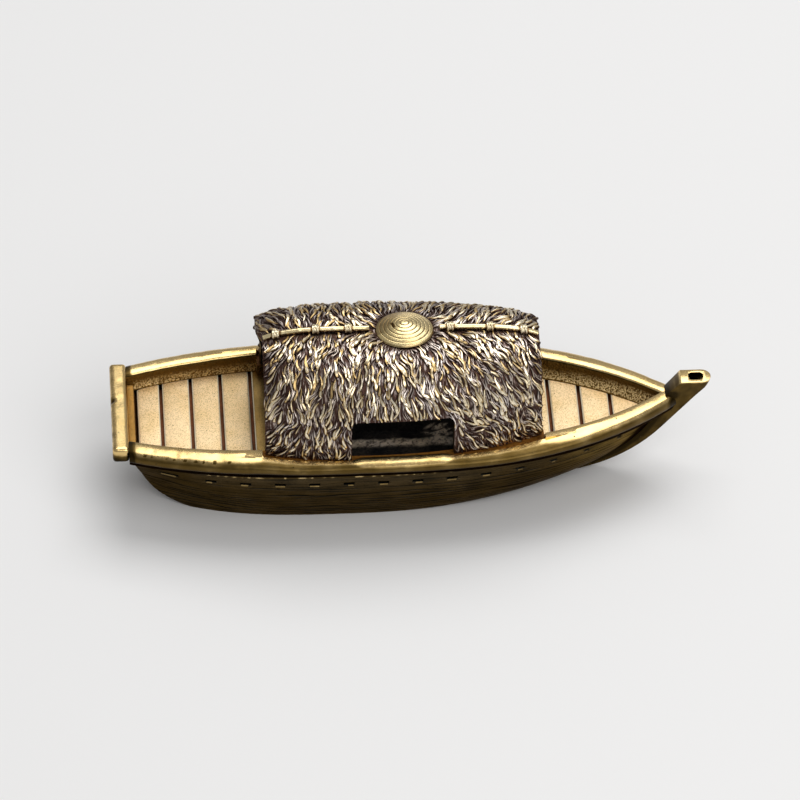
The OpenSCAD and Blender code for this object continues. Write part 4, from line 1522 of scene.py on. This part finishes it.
class INCENSEBOAT_OT_ridge(bpy.types.Operator):
    """Bamboo poles along the ridge with their lashings"""

    bl_idname = "incense_boat.ridge"
    bl_label = "Ridge poles and lashings"

    def execute(self, context):
        aft, fore = node_low("stern_ridge_pole")[0], node_high("bow_ridge_pole")[0]
        ties = [aft + off for off in STERN_TIES] + [fore - off for off in BOW_TIES]
        for node in ("stern_ridge_pole", "bow_ridge_pole"):
            x0, x1 = node_low(node)[0], node_high(node)[0]
            x0, x1 = (x0, x1 - POLE_TUCK) if x1 < HAT_X else (x0 + POLE_TUCK, x1)
            mesh = tube_mesh(node + "_bamboo", [self.pole(x0, x1)], 4)
            set_rub(mesh, lambda p: self.pole_rub(p, ties))
            piece(mesh, [pole_brass()], CANOPY, "ridge_brass", node)
        paths = [path for x in ties for path in self.knot(x, ridge_z(x) + POLE_LIFT)]
        mesh = tube_mesh("lashings", paths, 3)
        # The lashings are bright on top as a painted highlight and dark below as painted shade.
        set_rub(mesh, lambda p: 1.3 * smooth_step(-0.35, 0.1, p.z - ridge_z(p.x) - POLE_LIFT))
        piece(mesh, [tie_brass()], CANOPY, "ridge_brass", "ridge_lashings")
        return {"FINISHED"}

    def pole(self, x0, x1):
        """Path of a pole along the ridge, with a swelling at each joint of the bamboo."""
        steps = 60
        path = []
        for i in range(steps + 1):
            x = x0 + (x1 - x0) * i / steps
            joint = abs((x - x0) / POLE_JOINT % 1 - 0.5)
            path.append((x, 0, ridge_z(x) + POLE_LIFT, POLE_R + 0.05 * smooth_step(0.42, 0.5, joint)))
        return path

    def pole_rub(self, point, ties):
        """Rub of a pole: bright on top as a painted highlight, darker on its port side and beside the
        lashings as painted shade.
        """
        top = smooth_step(-0.4, 0.2, point.z - ridge_z(point.x) - POLE_LIFT)
        port = smooth_step(0.08, 0.36, point.y)
        beside = smooth_step(1.1, 0.75, min(abs(point.x - x) for x in ties))
        return 1.4 * top * (1 - 0.6 * port) - 1.2 * beside

    def knot(self, x, z):
        """A waisted pad round the pole with two turns of binding that cross on it."""
        half = ((-0.62, 0.5), (-0.52, 0.8), (-0.2, 0.76))
        outline = (*half, (0.0, 0.7), *((-along, radius) for along, radius in reversed(half)))
        turns = [[(x + along, 0, z, radius) for along, radius in outline]]
        steps = 16
        for lean in (-KNOT_LEAN, KNOT_LEAN):
            loop = []
            for k in range(steps + 1):
                a = 2 * math.pi * k / steps
                across, upward = math.sin(a), math.cos(a)
                loop.append((x + lean * across, KNOT_R * across, z + KNOT_R * upward, BINDING_R))
            turns.append(loop)
        return turns


class INCENSEBOAT_OT_hat(bpy.types.Operator):
    """Straw hat of coiled rings on the crown of the canopy"""

    bl_idname = "incense_boat.hat"
    bl_label = "Straw hat"

    def execute(self, context):
        profile = self.profile()
        bm = bmesh.new()
        layer = bm.verts.layers.float.new("rub")
        verts = [bm.verts.new((HAT_X * MM + r * MM, 0, (HAT_SEAT + z) * MM)) for r, z, _ in profile]
        for vert, (*_, wear_and_painted_light) in zip(verts, profile):
            vert[layer] = wear_and_painted_light
        edges = [bm.edges.new(pair) for pair in zip(verts, verts[1:])]
        bmesh.ops.spin(bm, geom=verts + edges, cent=(HAT_X * MM, 0, 0), axis=(0, 0, 1),
                       angle=2 * math.pi, steps=96, use_merge=True)
        weld(bm)
        fill_holes(bm)
        bmesh.ops.recalc_face_normals(bm, faces=bm.faces)
        for vert in bm.verts:
            x, y, z = vert.co / MM
            aside = x - HAT_X
            # Painted light and shade: darker towards the stern and port, with a painted highlight on the
            # starboard rim.
            wear_and_painted_light = smooth_step(-3.2, -0.4, aside - 0.5 * y + 1.2 * ripple(x, y, z, 2.0))
            if y < -1.5:
                wear_and_painted_light = max(wear_and_painted_light, smooth_step(HAT_R - 1.3, HAT_R - 0.7, math.hypot(aside, y)))
            flaw = smooth_step(0.35, 0.1, abs(aside + 2.0 + 0.3 * y)) * smooth_step(0.9, 0.4, abs(y + 0.3))
            vert[layer] = vert[layer] * (0.4 + 0.6 * wear_and_painted_light) - 1.2 * flaw
            vert.co.y *= HAT_SQUASH
        obj = piece(new_mesh("hat", bm), [hat_brass()], CANOPY, "ridge_brass", "straw_hat")
        obj.data.set_sharp_from_angle(angle=math.radians(60))
        return {"FINISHED"}

    def profile(self):
        """Points from the middle of the hat's underside over its coils to the tip: radius, height and rub."""
        rise = HAT_HIGH[2] - HAT_SEAT
        steps = 9 * HAT_COILS
        # The underside and the brim's foot are near-black as painted shade under the brim.
        points = [
            (0.05, -0.02, -1.0), (HAT_R * 0.9, -0.02, -1.0), (HAT_R - 0.2, 0.02, -1.0),
            (HAT_R - 0.05, 0.12, -0.7), (HAT_R, 0.22, 0.2), (HAT_R - 0.03, 0.33, 0.8),
        ]
        for i in range(steps + 1):
            t = i / steps
            r = (HAT_R - 0.1) * (1 - t) + 0.1 * t
            dome = HAT_BRIM + (rise - HAT_BRIM - 0.06) * (1 - (1 - t) ** 1.45)
            coil = min(abs(math.sin(math.pi * HAT_COILS * t)) * 2.2, 1) ** 0.7
            points.append((r, dome + 0.07 * coil, 0.1 + 0.95 * coil))
        return points + [(0.04, rise - 0.02, 0.8)]


class INCENSEBOAT_OT_stage(bpy.types.Operator):
    """Pale floor, soft light and the camera"""

    bl_idname = "incense_boat.stage"
    bl_label = "Stage"

    def execute(self, context):
        self.floor()
        self.lights()
        self.camera()
        context.scene.view_settings.view_transform = "Standard"
        return {"FINISHED"}

    def floor(self):
        """Wide plain floor."""
        bm = bmesh.new()
        bmesh.ops.create_grid(bm, x_segments=1, y_segments=1, size=FLOOR_HALF)
        obj = new_object("floor", new_mesh("floor", bm))
        material, tree, shader = new_material("pale_floor")
        set_inputs(tree, shader, {"Base Color": FLOOR_COLOUR, "Roughness": FLOOR_ROUGHNESS})
        obj.data.materials.append(material)

    def lights(self):
        """White sky and two square lamps that look at the boat."""
        world = bpy.data.worlds.new("studio")
        bpy.context.scene.world = world
        world.use_nodes = True
        sky = world.node_tree.nodes["Background"]
        sky.inputs["Color"].default_value = (1, 1, 1, 1)
        sky.inputs["Strength"].default_value = SKY_STRENGTH
        for name, (place, size, power) in LAMPS.items():
            light = bpy.data.lights.new(name, "AREA")
            light.size = size
            light.energy = power
            obj = new_object(name, light)
            obj.location = place
            obj.rotation_euler = (LAMP_TARGET - place).to_track_quat("-Z", "Y").to_euler()

    def camera(self):
        """Long lens that looks down on the starboard side, slightly rolled."""
        right = Vector((math.cos(AZIMUTH), math.sin(AZIMUTH), 0))
        level = math.cos(ELEVATION)
        ahead = Vector((-math.sin(AZIMUTH) * level, math.cos(AZIMUTH) * level, -math.sin(ELEVATION)))
        up = right.cross(ahead)
        turned = right * math.cos(ROLL) + up * math.sin(ROLL)
        up = up * math.cos(ROLL) - right * math.sin(ROLL)
        aim = Vector((0, 0, AIM_HEIGHT)) * MM - turned * AIM_LEFT * MM + up * AIM_UP * MM
        data = bpy.data.cameras.new("camera")
        data.sensor_width = CAMERA_SENSOR
        data.lens = CAMERA_LENS
        data.clip_end = 20
        obj = new_object("camera", data)
        turn = Matrix((turned, up, -ahead)).transposed().to_4x4()
        obj.matrix_world = Matrix.Translation(aim - ahead * CAMERA_DISTANCE) @ turn
        bpy.context.scene.camera = obj


OPERATORS = [
    INCENSEBOAT_OT_hull,
    INCENSEBOAT_OT_strakes,
    INCENSEBOAT_OT_rails,
    INCENSEBOAT_OT_fittings,
    INCENSEBOAT_OT_decks,
    INCENSEBOAT_OT_canopy,
    INCENSEBOAT_OT_thatch,
    INCENSEBOAT_OT_ridge,
    INCENSEBOAT_OT_hat,
    INCENSEBOAT_OT_stage,
]


class INCENSEBOAT_PT_panel(bpy.types.Panel):
    """Sizes, colours and building steps of the boat"""

    bl_idname = "INCENSEBOAT_PT_panel"
    bl_label = "Incense boat"
    bl_space_type = "VIEW_3D"
    bl_region_type = "UI"
    bl_category = "Incense boat"

    def draw(self, context):
        layout = self.layout
        for group in (context.scene.incense_boat, context.scene.incense_thatch):
            for name in group.bl_rna.properties.keys():
                if name not in ("rna_type", "name"):
                    layout.prop(group, name)
        for operator in OPERATORS:
            layout.operator(operator.bl_idname)


CLASSES = [BoatLook, ThatchLook, *OPERATORS, INCENSEBOAT_PT_panel]


def register():
    for one in CLASSES:
        bpy.utils.register_class(one)
    bpy.types.Scene.incense_boat = bpy.props.PointerProperty(type=BoatLook)
    bpy.types.Scene.incense_thatch = bpy.props.PointerProperty(type=ThatchLook)


def unregister():
    del bpy.types.Scene.incense_boat
    del bpy.types.Scene.incense_thatch
    for one in reversed(CLASSES):
        bpy.utils.unregister_class(one)


def main():
    for obj in [o for o in bpy.data.objects if o.name in ("Cube", "Light", "Camera")]:
        bpy.data.objects.remove(obj)
    register()
    bpy.ops.incense_boat.hull()
    bpy.ops.incense_boat.strakes()
    bpy.ops.incense_boat.rails()
    bpy.ops.incense_boat.fittings()
    bpy.ops.incense_boat.decks()
    bpy.ops.incense_boat.canopy()
    bpy.ops.incense_boat.thatch()
    bpy.ops.incense_boat.ridge()
    bpy.ops.incense_boat.hat()
    bpy.ops.incense_boat.stage()


if __name__ == "__main__":
    main()
